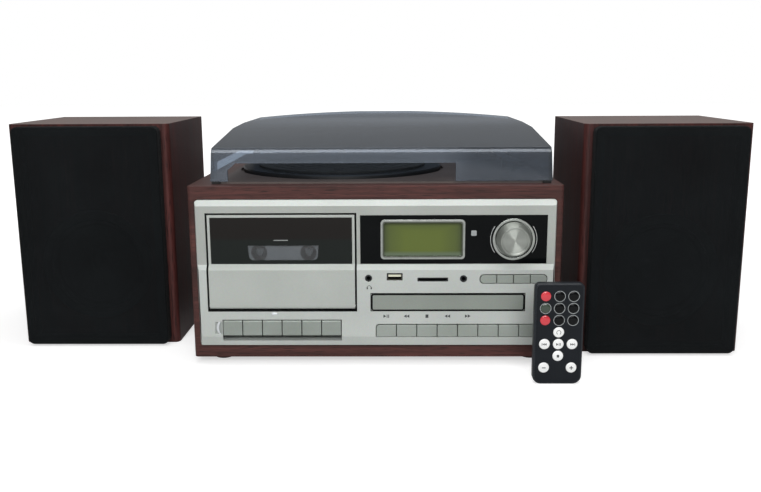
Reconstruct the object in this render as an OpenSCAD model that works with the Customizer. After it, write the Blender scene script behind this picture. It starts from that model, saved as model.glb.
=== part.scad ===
// Stereo music centre: a wooden main unit with a turntable under a smoked cover, a cassette
// deck, a disc tray, a display and a volume knob, with two speakers and a card remote.
// The origin is the middle of the set's footprint, on the surface that it stands on.
// The front faces -Y and +Z is up.

/* [Main cabinet] */
// Width of the wooden cabinet
body_w = 320; // [319:1:400]
// Depth of the wooden cabinet
body_d = 300; // [298:1:380]
// Height of the wooden cabinet, without its feet
body_h = 151.5; // [151:0.5:190]
// Thickness of the top and bottom boards
board_t = 12; // [9:0.5:14]
// Thickness of the side boards
side_t = 9; // [8:0.5:12]
// Rounding of the cabinet's two upright front edges
cabinet_edge_r = 3; // [1:0.5:5]
// Thickness of the rear cover
rear_cover_t = 3; // [2:0.5:5]
// Height of a rubber foot
foot_h = 6; // [4:0.5:9]
// Radius of a rubber foot
foot_r = 10; // [7:0.5:14]

/* [Front panel] */
// Wood left showing at each side of the front panel
lip_side = 6; // [5:0.5:7]
// Wood left showing above the front panel
lip_top = 11.7; // [8:0.1:14]
// Wood left showing below the front panel
lip_bottom = 12.5; // [8:0.1:15]
// Rounding of the front panel's corners
panel_corner = 3; // [1:0.5:5]
// Wall thickness of the silver moulding
panel_wall = 2.5; // [2:0.1:3]
// How far the upper half stands out of the wood
upper_proud = 3; // [2.5:0.1:4]
// How far the lower half stands out of the wood
lower_proud = 6; // [5.5:0.1:8]
// Gap round a door, tray or button in the front panel
front_gap = 0.8; // [0.5:0.1:1.2]

/* [Cassette deck] */
// Width of the opening for the cassette door
door_open_w = 127.4; // [120:0.5:130]
// Height of the opening for the cassette door
door_open_h = 84; // [80:0.5:86]
// Distance between the two reel spindles
reel_pitch = 42.5; // [42.5:0.5:42.5]
// Number of piano keys
key_count = 6; // [6:1:6]
// Distance from one piano key to the next
key_pitch = 17.15; // [15:0.05:17.5]
// Height of a piano key's front
key_h = 13.6; // [11:0.1:14]

/* [Display and knob] */
// Width of the black display window
display_w = 159.1; // [150:0.1:159.1]
// Height of the black display window
display_h = 42.3; // [40:0.1:43]
// Radius of the volume knob at its base
knob_r = 15; // [12:0.5:16]
// How far the volume knob stands out of the display window
knob_l = 10.5; // [8:0.5:14]

/* [Disc tray and buttons] */
// Width of the opening for the disc tray
tray_open_w = 131.7; // [131:0.1:134]
// Height of the opening for the disc tray
tray_open_h = 14.8; // [14:0.1:15.5]
// How far the disc tray opens
tray_travel = 125; // [100:1:128]
// Distance from one main button to the next
main_pitch = 17.6; // [14:0.1:17.6]
// Distance from one function button to the next
function_pitch = 14.3; // [12:0.1:14.3]
// How far a button sinks when it is pressed
button_travel = 0.8; // [0.4:0.1:1]

/* [Turntable] */
// Radius of the platter
platter_r = 97.5; // [94:0.5:98]
// Radius of the mat
mat_r = 80; // [60:1:90]
// Radius of the record spindle
record_pin_r = 3.55; // [3.5:0.05:3.6]
// Height of the lower edge of the cover above the wood
cover_rise = 2.5; // [2:0.1:4]
// Height of the front wall of the cover
cover_front_h = 28.5; // [26:0.5:34]
// Height of the crown of the cover above its lower edge
cover_crown_h = 48.2; // [44:0.5:56]
// Wall thickness of the cover
cover_wall = 2.5; // [2:0.1:3]

/* [Speakers] */
// Width of a speaker
speaker_w = 147; // [130:1:180]
// Height of a speaker
speaker_h = 207; // [190:1:250]
// Depth of a speaker's box
speaker_d = 137; // [120:1:180]
// Wall thickness of a speaker's box
speaker_wall = 9; // [6:0.5:12]
// Rounding of the two upright front edges of a speaker's box
speaker_edge_r = 5; // [1:0.5:6]
// Thickness of the cloth-covered grille frame
grille_t = 12; // [8:0.5:14]
// Radius of the driver's metal basket
driver_r = 51; // [45:1:55]
// Gap between the left speaker and the main unit
left_gap = 28.4; // [20:0.1:60]
// Gap between the right speaker and the main unit
right_gap = 21.9; // [20:0.1:60]
// How far the left speaker's box stands back from the front of the main unit
left_setback = 59.6; // [0:0.1:80]
// How far the right speaker's box stands back from the front of the main unit
right_setback = 31.5; // [0:0.1:80]

/* [Remote] */
// Width of the remote
remote_w = 40; // [36:0.5:42]
// Length of the remote
remote_h = 85; // [80:0.5:100]
// Thickness of the remote's case
remote_t = 6.5; // [5:0.1:9]
// How far the remote stands in front of the main unit
remote_ahead = 51; // [30:1:80]

/* [Hidden] */
$fn = 64;

// Clearances: a turning shaft in its hole, sliding or lifting pieces, and pieces that are set in
shaft_fit = 0.05;
slide_fit = 0.4;
set_fit = 0.15;

// The main unit's own frame: its footprint's centre, with the front at front_y
front_y = -body_d / 2;
back_y = body_d / 2;
base_z = foot_h;
top_z = foot_h + body_h;
inner_x = body_w / 2 - side_t;
floor_z = base_z + board_t;
ceiling_z = top_z - board_t;

// The whole set is centred on the origin, so the main unit stands a little off it
keypad_t = 0.4;
dome_h = 0.9;
unit_x = (left_gap - right_gap) / 2;
unit_y = (remote_ahead + keypad_t + dome_h) / 2;

// Front panel: its outline, and its section as [how far it stands out, height above its bottom]
panel_x0 = -body_w / 2 + lip_side;
panel_x1 = body_w / 2 - lip_side;
panel_z0 = base_z + lip_bottom;
panel_z1 = top_z - lip_top;
panel_h = panel_z1 - panel_z0;
rabbet_y = front_y + 6;
ledge_low = 67.3;
ledge_high = 71.5;
band_high = 21.6;
band_low = 8.2;
bevel_h = 5;
panel_face = [
    [lower_proud - 1.2, 0],
    [lower_proud + 0.8, band_low],
    [lower_proud, band_high],
    [lower_proud, ledge_low],
    [upper_proud, ledge_high],
    [upper_proud, panel_h - bevel_h],
    [0.6, panel_h]
];
upper_y = front_y - upper_proud;
lower_y = front_y - lower_proud;
upper_in_y = upper_y + panel_wall;
lower_in_y = lower_y + panel_wall;

// Cassette door and what is behind it
door_x0 = panel_x0 + 9.8;
door_x1 = door_x0 + door_open_w;
door_z0 = panel_z0 + 31.4;
door_z1 = door_z0 + door_open_h;
door_corner = 3;
door_axis_y = lower_y + door_corner;
door_axis_z = door_z0 + front_gap + door_corner;
door_pin_r = 1.2;
door_frame = 2.2;
window_x0 = door_x0 + front_gap + door_frame;
window_x1 = door_x1 - front_gap - door_frame;
window_z0 = panel_z0 + ledge_high + 0.4;
window_z1 = door_z1 - front_gap - door_frame;
window_t = 2;
reel_x = (door_x0 + door_x1) / 2 + 1.8;
reel_z = panel_z0 + 81.5;
chassis_y = front_y + 16;
chassis_t = 3;
spindle_shaft_r = 1.5;
holder_w = 102.4;
holder_wall = 1.6;
holder_y = chassis_y - 3.5;

// Piano keys
keys_x0 = panel_x0 + 21.6;
keys_z0 = panel_z0 + 9.1;
key_gap = 0.6;
key_face_y = lower_y - 1.6;
key_axis_y = front_y + 40;
key_axis_z = keys_z0 + 8.4;
key_shaft_r = 2;
key_drop = 3;
key_arm_w = 6;
key_slot_z0 = keys_z0 - key_drop - 1.8;
key_slot_z1 = keys_z0 + key_h + 0.5;

// Display, knob and the sockets beside them
display_x0 = panel_x0 + 141.1;
display_z0 = panel_z0 + ledge_high + 0.4;
lcd_x = panel_x0 + 194.5;
lcd_z = panel_z0 + 93.2;
bezel_w = 72;
bezel_h = 34.3;
bezel_rim = 2.8;
knob_x = panel_x0 + 271.8;
knob_z = panel_z0 + 93.2;
knob_ring_r = 18;
knob_ring_in_r = knob_r + 0.9;
knob_shaft_r = 3;
window_face_y = upper_y + 0.3;
phones_x = panel_x0 + 148.1;
phones_z = panel_z0 + 60;
usb_x = panel_x0 + 170.5;
usb_z = panel_z0 + 61.3;
usb_w = 13.6;
usb_h = 6.4;
card_x = panel_x0 + 203.1;
card_z = panel_z0 + 58.8;
card_w = 26.2;
card_h = 3.4;
line_x = panel_x0 + 229.4;
line_z = panel_z0 + 59.5;
jack_r = 2.9;
jack_bore_r = 1.8;
jack_depth = 13.5;
socket_face_y = lower_y + 0.2;
board_y = front_y + 15;
circuit_t = 1.6;

// Disc tray and buttons
tray_x0 = panel_x0 + 150.3;
tray_x1 = tray_x0 + tray_open_w;
tray_z0 = panel_z0 + 31.4;
tray_z1 = tray_z0 + tray_open_h;
tray_mid_x = (tray_x0 + tray_x1) / 2;
tray_w = 126;
tray_t = 8;
tray_l = 140;
tray_front_t = 3.5;
tray_bed_z = tray_z0 + 3;
disc_y = lower_y + 76;
disc_r = 60.5;
hub_slot_w = 36;
loader_z = tray_z0 - 5.5;
loader_rail = 3;
main_x0 = panel_x0 + 154.6;
main_z0 = panel_z0 + 8.3;
main_h = 10.4;
function_x0 = panel_x0 + 243.7;
function_z0 = panel_z0 + 55.7;
function_h = 7;
button_gap = 0.6;
flange_t = 1.4;
stem_r = 1.6;
main_face_y = lower_y - 1.6;
function_face_y = lower_y - 0.9;
main_board_y = front_y + 6;

// Dust cover and the deck inside it
cover_x0 = -body_w / 2 + 18;
cover_x1 = body_w / 2 - 8;
cover_mid_x = (cover_x0 + cover_x1) / 2;
cover_y0 = front_y + 12;
cover_y1 = back_y - 13;
cover_z = top_z + cover_rise;
cover_top_z = cover_z + cover_crown_h;
cover_arch_r = 1500;
cover_draft = 3;
cut_x0 = cover_x0 + 15;
cut_x1 = cover_x1 - 83;
cut_z = cover_z + 15.5;
cut_y0 = cover_y0 + 16;
cut_y1 = cover_y1 - 46;
deck_rise = 1.5;
deck_z = top_z + deck_rise;
deck_gap = 1.5;
deck_x0 = cover_x0 + cover_wall + deck_gap;
deck_x1 = cover_x1 - cover_wall - deck_gap;
deck_y0 = cover_y0 + cover_wall + deck_gap;
deck_y1 = back_y - 3;
deck_flange = 2.5;
hinge_y = back_y - 7;
hinge_z = deck_z + 4.5;
hinge_r = 4;
hinge_pin_r = 2;
hinge_spacing = 190;
hinge_barrel = 19;

// Platter, arm and their switches
platter_x = -35;
platter_y = front_y + 132;
well_r = platter_r + 2.5;
well_z = top_z - 1;
bowl_r = 91;
bowl_z = top_z - 10;
platter_z0 = well_z + 0.7;
platter_z1 = top_z + 4.7;
mat_t = 1.8;
mat_hole_r = 6.3;
bearing_r = 3;
drive_ring_r = 69;
drive_ring_t = 3;
pulley_r = 6;
pulley_l = 82;
pulley_turn = 215;
pulley_x = platter_x + pulley_l * cos(pulley_turn);
pulley_y = platter_y + pulley_l * sin(pulley_turn);
belt_t = 0.8;
belt_w = 4;
belt_z = bowl_z + 4;
motor_r = 16;
motor_h = 22;
motor_shaft_r = 1;
arm_x = platter_x + 157;
arm_y = platter_y + 110;
arm_z = top_z + 14.5;
arm_l = 205;
arm_shaft_r = 3;
arm_axle_r = 1.5;
arm_tube_r = 3;
rest_y = arm_y - 150;
switch_x = arm_x + 15;
cue_y = arm_y - 32;
cue_axle_r = 1.6;
speed_y = arm_y - 90;
stop_y = arm_y - 128;
switch_travel = 4;

// Colours that more than one piece has
wood = "#4a2724";
silver = "#b4b9b4";
smoke = "#59636c";

// Shapes that the pieces share
module at_unit() translate([unit_x, unit_y, 0]) children();

module block(x, y, z) translate([x[0], y[0], z[0]]) cube([x[1] - x[0], y[1] - y[0], z[1] - z[0]]);

module along_x(x) translate([x[0], 0, 0]) rotate([90, 0, 90]) linear_extrude(x[1] - x[0]) children();

module along_y(y) translate([0, y[1], 0]) rotate([90, 0, 0]) linear_extrude(y[1] - y[0]) children();

module along_z(z) translate([0, 0, z[0]]) linear_extrude(z[1] - z[0]) children();

module rod_x(y, z, r, x) translate([x[0], y, z]) rotate([0, 90, 0]) cylinder(r = r, h = x[1] - x[0]);

module rod_y(x, z, r, y) translate([x, y[1], z]) rotate([90, 0, 0]) cylinder(r = r, h = y[1] - y[0]);

module rod_z(x, y, r, z) translate([x, y, z[0]]) cylinder(r = r, h = z[1] - z[0]);

module round_rect(a, b, r) {
    translate([a[0] + r, b[0]]) square([a[1] - a[0] - 2 * r, b[1] - b[0]]);
    translate([a[0], b[0] + r]) square([a[1] - a[0], b[1] - b[0] - 2 * r]);
    for (u = [a[0] + r, a[1] - r], v = [b[0] + r, b[1] - r]) translate([u, v]) circle(r);
}

// A box's plan, with its two front corners rounded
module rounded_front(x, y, r) {
    translate([x[0], y[0] + r]) square([x[1] - x[0], y[1] - y[0] - r]);
    translate([x[0] + r, y[0]]) square([x[1] - x[0] - 2 * r, r + 1]);
    for (u = [x[0] + r, x[1] - r]) translate([u, y[0] + r]) circle(r);
}

function mid(a, w) = [a - w / 2, a + w / 2];

// Wooden carcass: two boards and two sides, rebated for the front panel and the rear cover
module cabinet() color(wood) at_unit() difference() {
    along_z([base_z, top_z]) rounded_front([-body_w / 2, body_w / 2], [front_y, back_y], cabinet_edge_r);
    block([-inner_x, inner_x], [front_y - 1, back_y + 1], [floor_z, ceiling_z]);
    along_y([front_y - 1, rabbet_y + set_fit])
        round_rect([panel_x0 - set_fit, panel_x1 + set_fit], [panel_z0 - set_fit, panel_z1 + set_fit],
                   panel_corner + set_fit);
    block([-rear_x, rear_x], [back_y - rear_cover_t, back_y + 1], [rear_z0, rear_z1]);
    block([deck_x0 + deck_flange - 0.5, deck_x1 - deck_flange + 0.5],
          [deck_y0 + deck_flange - 0.5, deck_core_y1 + 0.5], [ceiling_z - 1, top_z + 1]);
}
rear_lap = 4;
rear_x = inner_x + rear_lap;
rear_z0 = floor_z - rear_lap;
rear_z1 = ceiling_z + rear_lap;
deck_core_y1 = back_y - 22;

// Rear cover: a flat board with cooling slots and cut-outs for the rear sockets
terminal_x = -70;
terminal_z = base_z + 52;
terminal_w = 62;
terminal_h = 30;
phono_x = 0;
inlet_x = 95;
inlet_z = base_z + 34;
inlet_w = 20;
inlet_h = 13;
screw_x = rear_x - 5;
screw_hole_r = 1.6;
cover_screws = [for (x = [-screw_x, 0, screw_x], z = [rear_z0 + 5, rear_z1 - 5]) [x, z]];
module rear_cover() color("#3a3532") at_unit() difference() {
    block([-rear_x + set_fit, rear_x - set_fit], [back_y - rear_cover_t, back_y],
          [rear_z0 + set_fit, rear_z1 - set_fit]);
    for (i = [-5 : 5], j = [0, 1])
        along_y([back_y - rear_cover_t - 1, back_y + 1])
            round_rect(mid(i * 9 + 55, 4), mid(top_z - 60 + j * 26, 20), 1.9);
    block(mid(terminal_x, terminal_w), [back_y - 5, back_y + 1], mid(terminal_z, terminal_h));
    for (k = [-1, 1])
        rod_y(phono_x + k * 9, terminal_z, 5.4, [back_y - 5, back_y + 1]);
    block(mid(inlet_x, inlet_w), [back_y - 5, back_y + 1], mid(inlet_z, inlet_h));
    for (s = cover_screws) rod_y(s[0], s[1], screw_hole_r, [back_y - 5, back_y + 1]);
}

// Pan-head screws that hold the rear cover; each stays level with the cover's face
module screws() color("#2c2c2e") at_unit() for (s = cover_screws) {
    rod_y(s[0], s[1], screw_hole_r - 0.05, [back_y - rear_cover_t, back_y - 1]);
    difference() {
        rod_y(s[0], s[1], screw_hole_r - 0.05, [back_y - 1, back_y]);
        block(mid(s[0], 2), [back_y - 0.6, back_y + 1], mid(s[1], 0.5));
        block(mid(s[0], 0.5), [back_y - 0.6, back_y + 1], mid(s[1], 2));
    }
}

// Silver front moulding: one section along its whole width, with its openings
function face_line(shift) = [for (p = panel_face) [front_y - p[0] + shift, panel_z0 + p[1]]];
module panel_shell() difference() {
    intersection() {
        along_x([panel_x0, panel_x1])
            polygon(concat([[rabbet_y, panel_z0]], face_line(0), [[rabbet_y, panel_z1]]));
        along_z([panel_z0 - 1, panel_z1 + 1]) polygon([
            [panel_x0, rabbet_y + 1], [panel_x0, front_y - 0.6], [panel_x0 + 3.5, front_y - 9],
            [panel_x1 - 3.5, front_y - 9], [panel_x1, front_y - 0.6], [panel_x1, rabbet_y + 1]
        ]);
        along_y([front_y - 12, rabbet_y + 1])
            round_rect([panel_x0, panel_x1], [panel_z0, panel_z1], panel_corner);
    }
    intersection() {
        along_x([panel_x0 + panel_wall, panel_x1 - panel_wall])
            polygon(concat([[rabbet_y + 9, panel_z0]], face_line(panel_wall), [[rabbet_y + 9, panel_z1]]));
        block([panel_x0, panel_x1], [front_y - 12, rabbet_y + 9],
              [panel_z0 + panel_wall, panel_z1 - panel_wall]);
    }
}
module front_hole() along_y([front_y - 12, rabbet_y + 1]) children();
module front_panel() color(silver) at_unit() difference() {
    union() {
        panel_shell();
        // Lugs for the cassette door's two pins
        for (x = [[door_x0 - 3.2, door_x0], [door_x1, door_x1 + 3.2]])
            block(x, [lower_in_y - 0.5, front_y + 2], [door_z0 - 0.5, door_axis_z + 4]);
        // Chute under the piano keys
        along_x([keys_x0 - 1.5, keys_x0 + key_count * key_pitch + 1.5]) polygon([
            [lower_y + 1, key_slot_z0 - 1.5], [lower_y + 1, key_slot_z0],
            [front_y + 3, key_slot_z0 + 1.2], [front_y + 3, key_slot_z0 - 1.5]
        ]);
    }
    front_hole() translate([door_x0, door_z0]) square([door_open_w, door_open_h]);
    rod_x(door_axis_y, door_axis_z, door_pin_r + shaft_fit, [door_x0 - 2.6, door_x1 + 2.6]);
    front_hole() translate([display_x0, display_z0]) square([display_w, display_h]);
    along_x([keys_x0 - key_gap, keys_x0 + key_count * key_pitch]) polygon([
        [front_y - 12, key_slot_z0], [lower_y + 1, key_slot_z0], [front_y + 3, key_slot_z0 + 1.2],
        [rabbet_y + 1, key_slot_z0 + 1.2], [rabbet_y + 1, key_slot_z1], [front_y - 12, key_slot_z1]
    ]);
    front_hole() round_rect([tray_x0, tray_x1], [tray_z0, tray_z1], 1.5);
    front_hole() main_slot_2d();
    front_hole() round_rect([function_x0 - button_gap, function_x0 + 4 * function_pitch],
                            [function_z0 - 0.6, function_z0 + function_h + 0.6], function_h / 2);
    for (j = [[phones_x, phones_z], [line_x, line_z]])
        rod_y(j[0], j[1], jack_r + set_fit, [front_y - 12, front_y]);
    front_hole() round_rect(mid(usb_x, usb_w), mid(usb_z, usb_h), 0.4);
    front_hole() round_rect(mid(card_x, card_w), mid(card_z, card_h), 0.5);
    // Finger scoop at the left end of the piano keys
    translate([keys_x0 - 4.2, lower_y - 1.8, keys_z0 + 1.5]) cylinder(r = 3.4, h = key_h - 3);
}
module main_slot_2d() {
    a = [main_x0 - button_gap, main_x0 + 8 * main_pitch];
    b = [main_z0 - 0.6, main_z0 + main_h + 0.6];
    round_rect(a, b, 3);
    translate([a[0], b[0]]) square([a[1] - a[0], 4]);
}

// Black acrylic window round the display and the knob, held by a flange behind the panel
module display_window() color("#101417") at_unit() difference() {
    union() {
        block([display_x0 + set_fit, display_x0 + display_w - set_fit], [window_face_y, upper_in_y],
              [display_z0 + set_fit, display_z0 + display_h - set_fit]);
        block([display_x0 - 2, display_x0 + display_w + 2], [upper_in_y, upper_in_y + 1.2],
              [display_z0 - 2, display_z0 + display_h + 2]);
    }
    along_y([upper_y - 5, front_y + 5])
        round_rect(mid(lcd_x, bezel_w + 2 * set_fit), mid(lcd_z, bezel_h + 2 * set_fit), 3);
    rod_y(knob_x, knob_z, knob_ring_r + set_fit, [upper_y - 5, front_y + 5]);
}

// Bright trim: the frame round the display and the ring round the knob
module display_trim() color("#c9cdcc") at_unit() {
    difference() {
        along_y([window_face_y - 1, upper_in_y + 1])
            round_rect(mid(lcd_x, bezel_w), mid(lcd_z, bezel_h), 3);
        along_y([window_face_y - 2, upper_in_y + 2])
            round_rect(mid(lcd_x, bezel_w - 2 * bezel_rim), mid(lcd_z, bezel_h - 2 * bezel_rim), 1.6);
    }
    difference() {
        rod_y(knob_x, knob_z, knob_ring_r, [window_face_y - 1.2, upper_in_y + 1.2]);
        rod_y(knob_x, knob_z, knob_ring_in_r, [window_face_y - 2, upper_in_y]);
        rod_y(knob_x, knob_z, 5.5, [upper_in_y - 1, upper_in_y + 2]);
    }
}

// Liquid crystal module behind the display frame, on the control board
module lcd_panel() color("#67713e") at_unit() {
    block(mid(lcd_x, bezel_w - 2), [upper_in_y + 1, upper_in_y + 4], mid(lcd_z, bezel_h - 2));
    block(mid(lcd_x, bezel_w - 8), [upper_in_y + 4, board_y], mid(lcd_z, bezel_h - 8));
}

// Volume knob with its shaft, which turns in the encoder's bush
module volume_knob() color("#b9bcb8") at_unit() {
    translate([knob_x, window_face_y - knob_l, knob_z]) rotate([-90, 0, 0]) rotate_extrude() polygon([
        [0, 0.8], [knob_r - 4.6, 0.8], [knob_r - 4, 0], [knob_r - 2.8, 0],
        [knob_r - 0.6, knob_l - 3], [knob_r, knob_l - 2], [knob_r, knob_l + 0.8], [0, knob_l + 0.8]
    ]);
    rod_y(knob_x, knob_z, knob_shaft_r, [window_face_y, board_y - 4]);
}

// Headphone and line sockets, the USB socket and the card slot
module front_sockets() color("#17191b") at_unit() {
    for (j = [[phones_x, phones_z], [line_x, line_z]]) difference() {
        union() {
            rod_y(j[0], j[1], jack_r, [socket_face_y, lower_in_y + 1]);
            block(mid(j[0], 9), [lower_in_y + 0.2, board_y], mid(j[1], 9));
        }
        rod_y(j[0], j[1], jack_bore_r, [socket_face_y - 1, socket_face_y + jack_depth]);
    }
    difference() {
        block(mid(usb_x, usb_w - 0.4), [socket_face_y, board_y], mid(usb_z, usb_h - 0.4));
        block(mid(usb_x, usb_w - 1.4), [socket_face_y - 1, board_y - 2], mid(usb_z, usb_h - 1.4));
    }
    block(mid(usb_x, usb_w - 3), [socket_face_y + 1, board_y - 1.5], mid(usb_z + 0.9, 1.6));
    difference() {
        union() {
            block(mid(card_x, card_w - 0.4), [socket_face_y, lower_in_y + 1], mid(card_z, card_h - 0.4));
            block(mid(card_x, card_w + 3), [lower_in_y + 0.2, board_y], mid(card_z, 7));
        }
        block(mid(card_x, card_w - 1.8), [socket_face_y - 1, board_y - 2], mid(card_z, card_h - 1.4));
    }
}

// Four rubber feet under the cabinet
module feet() color("#1c1c1c") at_unit()
    for (x = mid(0, body_w - 44), y = mid(0, body_d - 44)) translate([x, y, 0]) rotate_extrude() polygon([
        [0, 0], [foot_r - 2, 0], [foot_r - 1, 1], [foot_r, foot_h], [0, foot_h]
    ]);

// Turntable deck: a plate let into the top board, with the platter's well and bowl, the arm's
// boss and rest, and the two pairs of hinge lugs
arm_boss_r = 11;
switch_slot = [4.4, 2 * switch_travel + 4.8];
module turntable_deck() color("#2b2625") at_unit() difference() {
    union() {
        along_z([top_z, deck_z]) round_rect([deck_x0, deck_x1], [deck_y0, deck_y1], 4);
        block([deck_x0 + deck_flange, deck_x1 - deck_flange], [deck_y0 + deck_flange, deck_core_y1],
              [top_z - 3, top_z + 0.5]);
        rod_z(platter_x, platter_y, bowl_r + 2.5, [bowl_z - 2.5, top_z]);
        rod_z(platter_x, platter_y, 7.5, [bowl_z - 8, bowl_z]);
        rod_z(arm_x, arm_y, arm_boss_r, [top_z - 9, deck_z + 4]);
        // Arm rest: a post that the arm lies on, with a stop at its outer side
        block([arm_x - 3.5, arm_x + 5], mid(rest_y, 5), [deck_z - 1, arm_z + arm_tube_r + 1]);
        // Two ears that carry the cue lever's axle
        for (s = [-1, 1])
            block(mid(switch_x + s * 4, 3), mid(cue_y, 6), [deck_z - 1, deck_z + 10]);
        // Hinge lugs
        for (s = [-1, 1], t = [-1, 1]) hinge_lug(s, t);
    }
    rod_z(platter_x, platter_y, well_r, [well_z, deck_z + 1]);
    rod_z(platter_x, platter_y, bowl_r, [bowl_z, deck_z + 1]);
    rod_z(platter_x, platter_y, bearing_r + shaft_fit, [bowl_z - 6.5, bowl_z + 1]);
    rod_z(pulley_x, pulley_y, motor_shaft_r + 1.5, [bowl_z - 5, bowl_z + 1]);
    rod_z(arm_x, arm_y, arm_shaft_r + shaft_fit, [top_z - 7, deck_z + 5]);
    block([arm_x - 9, arm_x + arm_tube_r + 0.4], mid(rest_y, 7), [arm_z - arm_tube_r - 0.4, arm_z + 9]);
    rod_x(cue_y, deck_z + 7, cue_axle_r + shaft_fit, mid(switch_x, 13));
    for (y = [speed_y, stop_y]) block(mid(switch_x, switch_slot[0]), mid(y, switch_slot[1]),
                                      [top_z - 4, deck_z + 1]);
    rod_x(hinge_y, hinge_z, hinge_pin_r + 0.08, [deck_x0 + 5, deck_x1 - 5]);
}
module hinge_lug(s, t) {
    x = cover_mid_x + s * hinge_spacing / 2 + t * (hinge_barrel / 2 + 3.5);
    rod_x(hinge_y, hinge_z, hinge_r, mid(x, 6));
    block(mid(x, 6), [hinge_y - hinge_r, hinge_y + hinge_r], [deck_z - 1, hinge_z]);
}

// Platter: a dished disc with a drive ring below it, its bearing shaft, the record spindle on a
// collar that is level with the mat, and the round hole for putting the belt over the pulley
module platter() color("#191b1d") at_unit() translate([platter_x, platter_y, 0]) {
    difference() {
        rotate_extrude() polygon([
            [0, platter_z0 - 3], [8, platter_z0 - 3], [8, platter_z1 - 2.5],
            [drive_ring_r - drive_ring_t, platter_z1 - 2.5],
            [drive_ring_r - drive_ring_t, bowl_z + 2.5], [drive_ring_r, bowl_z + 2.5],
            [drive_ring_r, platter_z1 - 2.5], [platter_r - 3, platter_z1 - 2.5],
            [platter_r - 3, platter_z0], [platter_r - 1, platter_z0], [platter_r, platter_z0 + 1],
            [platter_r, platter_z1 - 1], [platter_r - 1, platter_z1], [0, platter_z1]
        ]);
        translate([0, -56, platter_z1 - 5]) cylinder(r = 5, h = 10);
    }
    translate([0, 0, bowl_z - 6]) cylinder(r = bearing_r, h = platter_z1 - 1 - bowl_z + 6);
    translate([0, 0, platter_z1 - 1]) cylinder(r = mat_hole_r - 0.3, h = mat_t + 1);
    translate([0, 0, platter_z1 + mat_t - 0.5]) cylinder(r = record_pin_r, h = 13 - mat_t);
    translate([0, 0, platter_z1 + 12.5]) cylinder(r1 = record_pin_r, r2 = 1.6, h = 2);
}

// Rubber mat with raised rings, on the platter
module platter_mat() color("#3c4340") at_unit() translate([platter_x, platter_y, platter_z1])
    difference() {
        union() {
            cylinder(r = mat_r, h = mat_t - 0.5);
            for (r = [18 : 12 : mat_r - 2]) difference() {
                cylinder(r = r + 4, h = mat_t);
                translate([0, 0, -1]) cylinder(r = r, h = mat_t + 2);
            }
        }
        translate([0, 0, -1]) cylinder(r = mat_hole_r, h = mat_t + 2);
        translate([0, -56, -1]) cylinder(r = 5, h = mat_t + 2);
    }

// Motor under the bowl, its pulley, and the belt that runs to the platter's drive ring
module turntable_motor() color("#8d9092") at_unit() translate([pulley_x, pulley_y, 0]) difference() {
    union() {
        translate([0, 0, bowl_z - 2.5 - motor_h]) cylinder(r = motor_r, h = motor_h);
        translate([0, 0, bowl_z - 2.5 - motor_h - 3]) cylinder(r = 5, h = 3);
    }
    translate([0, 0, bowl_z - 2.5 - 12]) cylinder(r = motor_shaft_r + shaft_fit, h = 13);
}
module motor_pulley() color("#c2a14a") at_unit() translate([pulley_x, pulley_y, 0]) {
    translate([0, 0, bowl_z - 2.5 - 11]) cylinder(r = motor_shaft_r, h = 16);
    translate([0, 0, bowl_z + 1.5]) rotate_extrude() polygon([
        [0, 0], [pulley_r + 1, 0], [pulley_r + 1, 1], [pulley_r, 2], [pulley_r, 7], [pulley_r + 1, 8],
        [0, 8]
    ]);
}
module belt_outline(grow) hull() {
    translate([platter_x, platter_y]) circle(drive_ring_r + 0.1 + grow, $fn = 72);
    translate([pulley_x, pulley_y]) circle(pulley_r + 0.1 + grow, $fn = 32);
}
module drive_belt() color("#222222") at_unit() along_z([belt_z, belt_z + belt_w]) difference() {
    belt_outline(belt_t);
    belt_outline(0);
}

// Arm pivot: a fork on a vertical shaft that turns in the deck's boss
module arm_pivot() color("#202224") at_unit() translate([arm_x, arm_y, 0]) difference() {
    union() {
        translate([0, 0, top_z - 6]) cylinder(r = arm_shaft_r, h = 12);
        translate([0, 0, deck_z + 4 + slide_fit]) cylinder(r = 9, h = 2);
        for (s = [-1, 1]) block(mid(s * 7, 3), [-5, 5], [deck_z + 5, arm_z + 4]);
    }
    rod_x(0, arm_z, arm_axle_r + shaft_fit, [-9, 9]);
}

// Straight arm with its headshell, cartridge and counterweight, on a cross axle in the fork
module tonearm() color("#26282a") at_unit() translate([arm_x, arm_y, 0]) {
    rod_y(0, arm_z, arm_tube_r, [-arm_l + 26, 14]);
    block(mid(0, 10), [-6, 6], mid(arm_z, 8));
    rod_x(0, arm_z, arm_axle_r, [-8.4, 8.4]);
    rod_y(0, arm_z, 8, [13, 27]);
    along_z([arm_z - 2.5, arm_z + 2.5]) polygon([
        [-3.5, -arm_l + 28], [-8, -arm_l + 20], [-8, -arm_l - 6], [8, -arm_l - 6],
        [8, -arm_l + 20], [3.5, -arm_l + 28]
    ]);
    block(mid(0, 10), [-arm_l - 3, -arm_l + 14], [arm_z - 4.6, arm_z - 2]);
    translate([0, -arm_l, arm_z - 6.5]) cylinder(r1 = 0.4, r2 = 1.2, h = 2);
    translate([10.5, -arm_l + 1, arm_z]) rotate([0, 0, 25]) block([-3, 3], [-1, 1], [-1, 1]);
}

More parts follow.
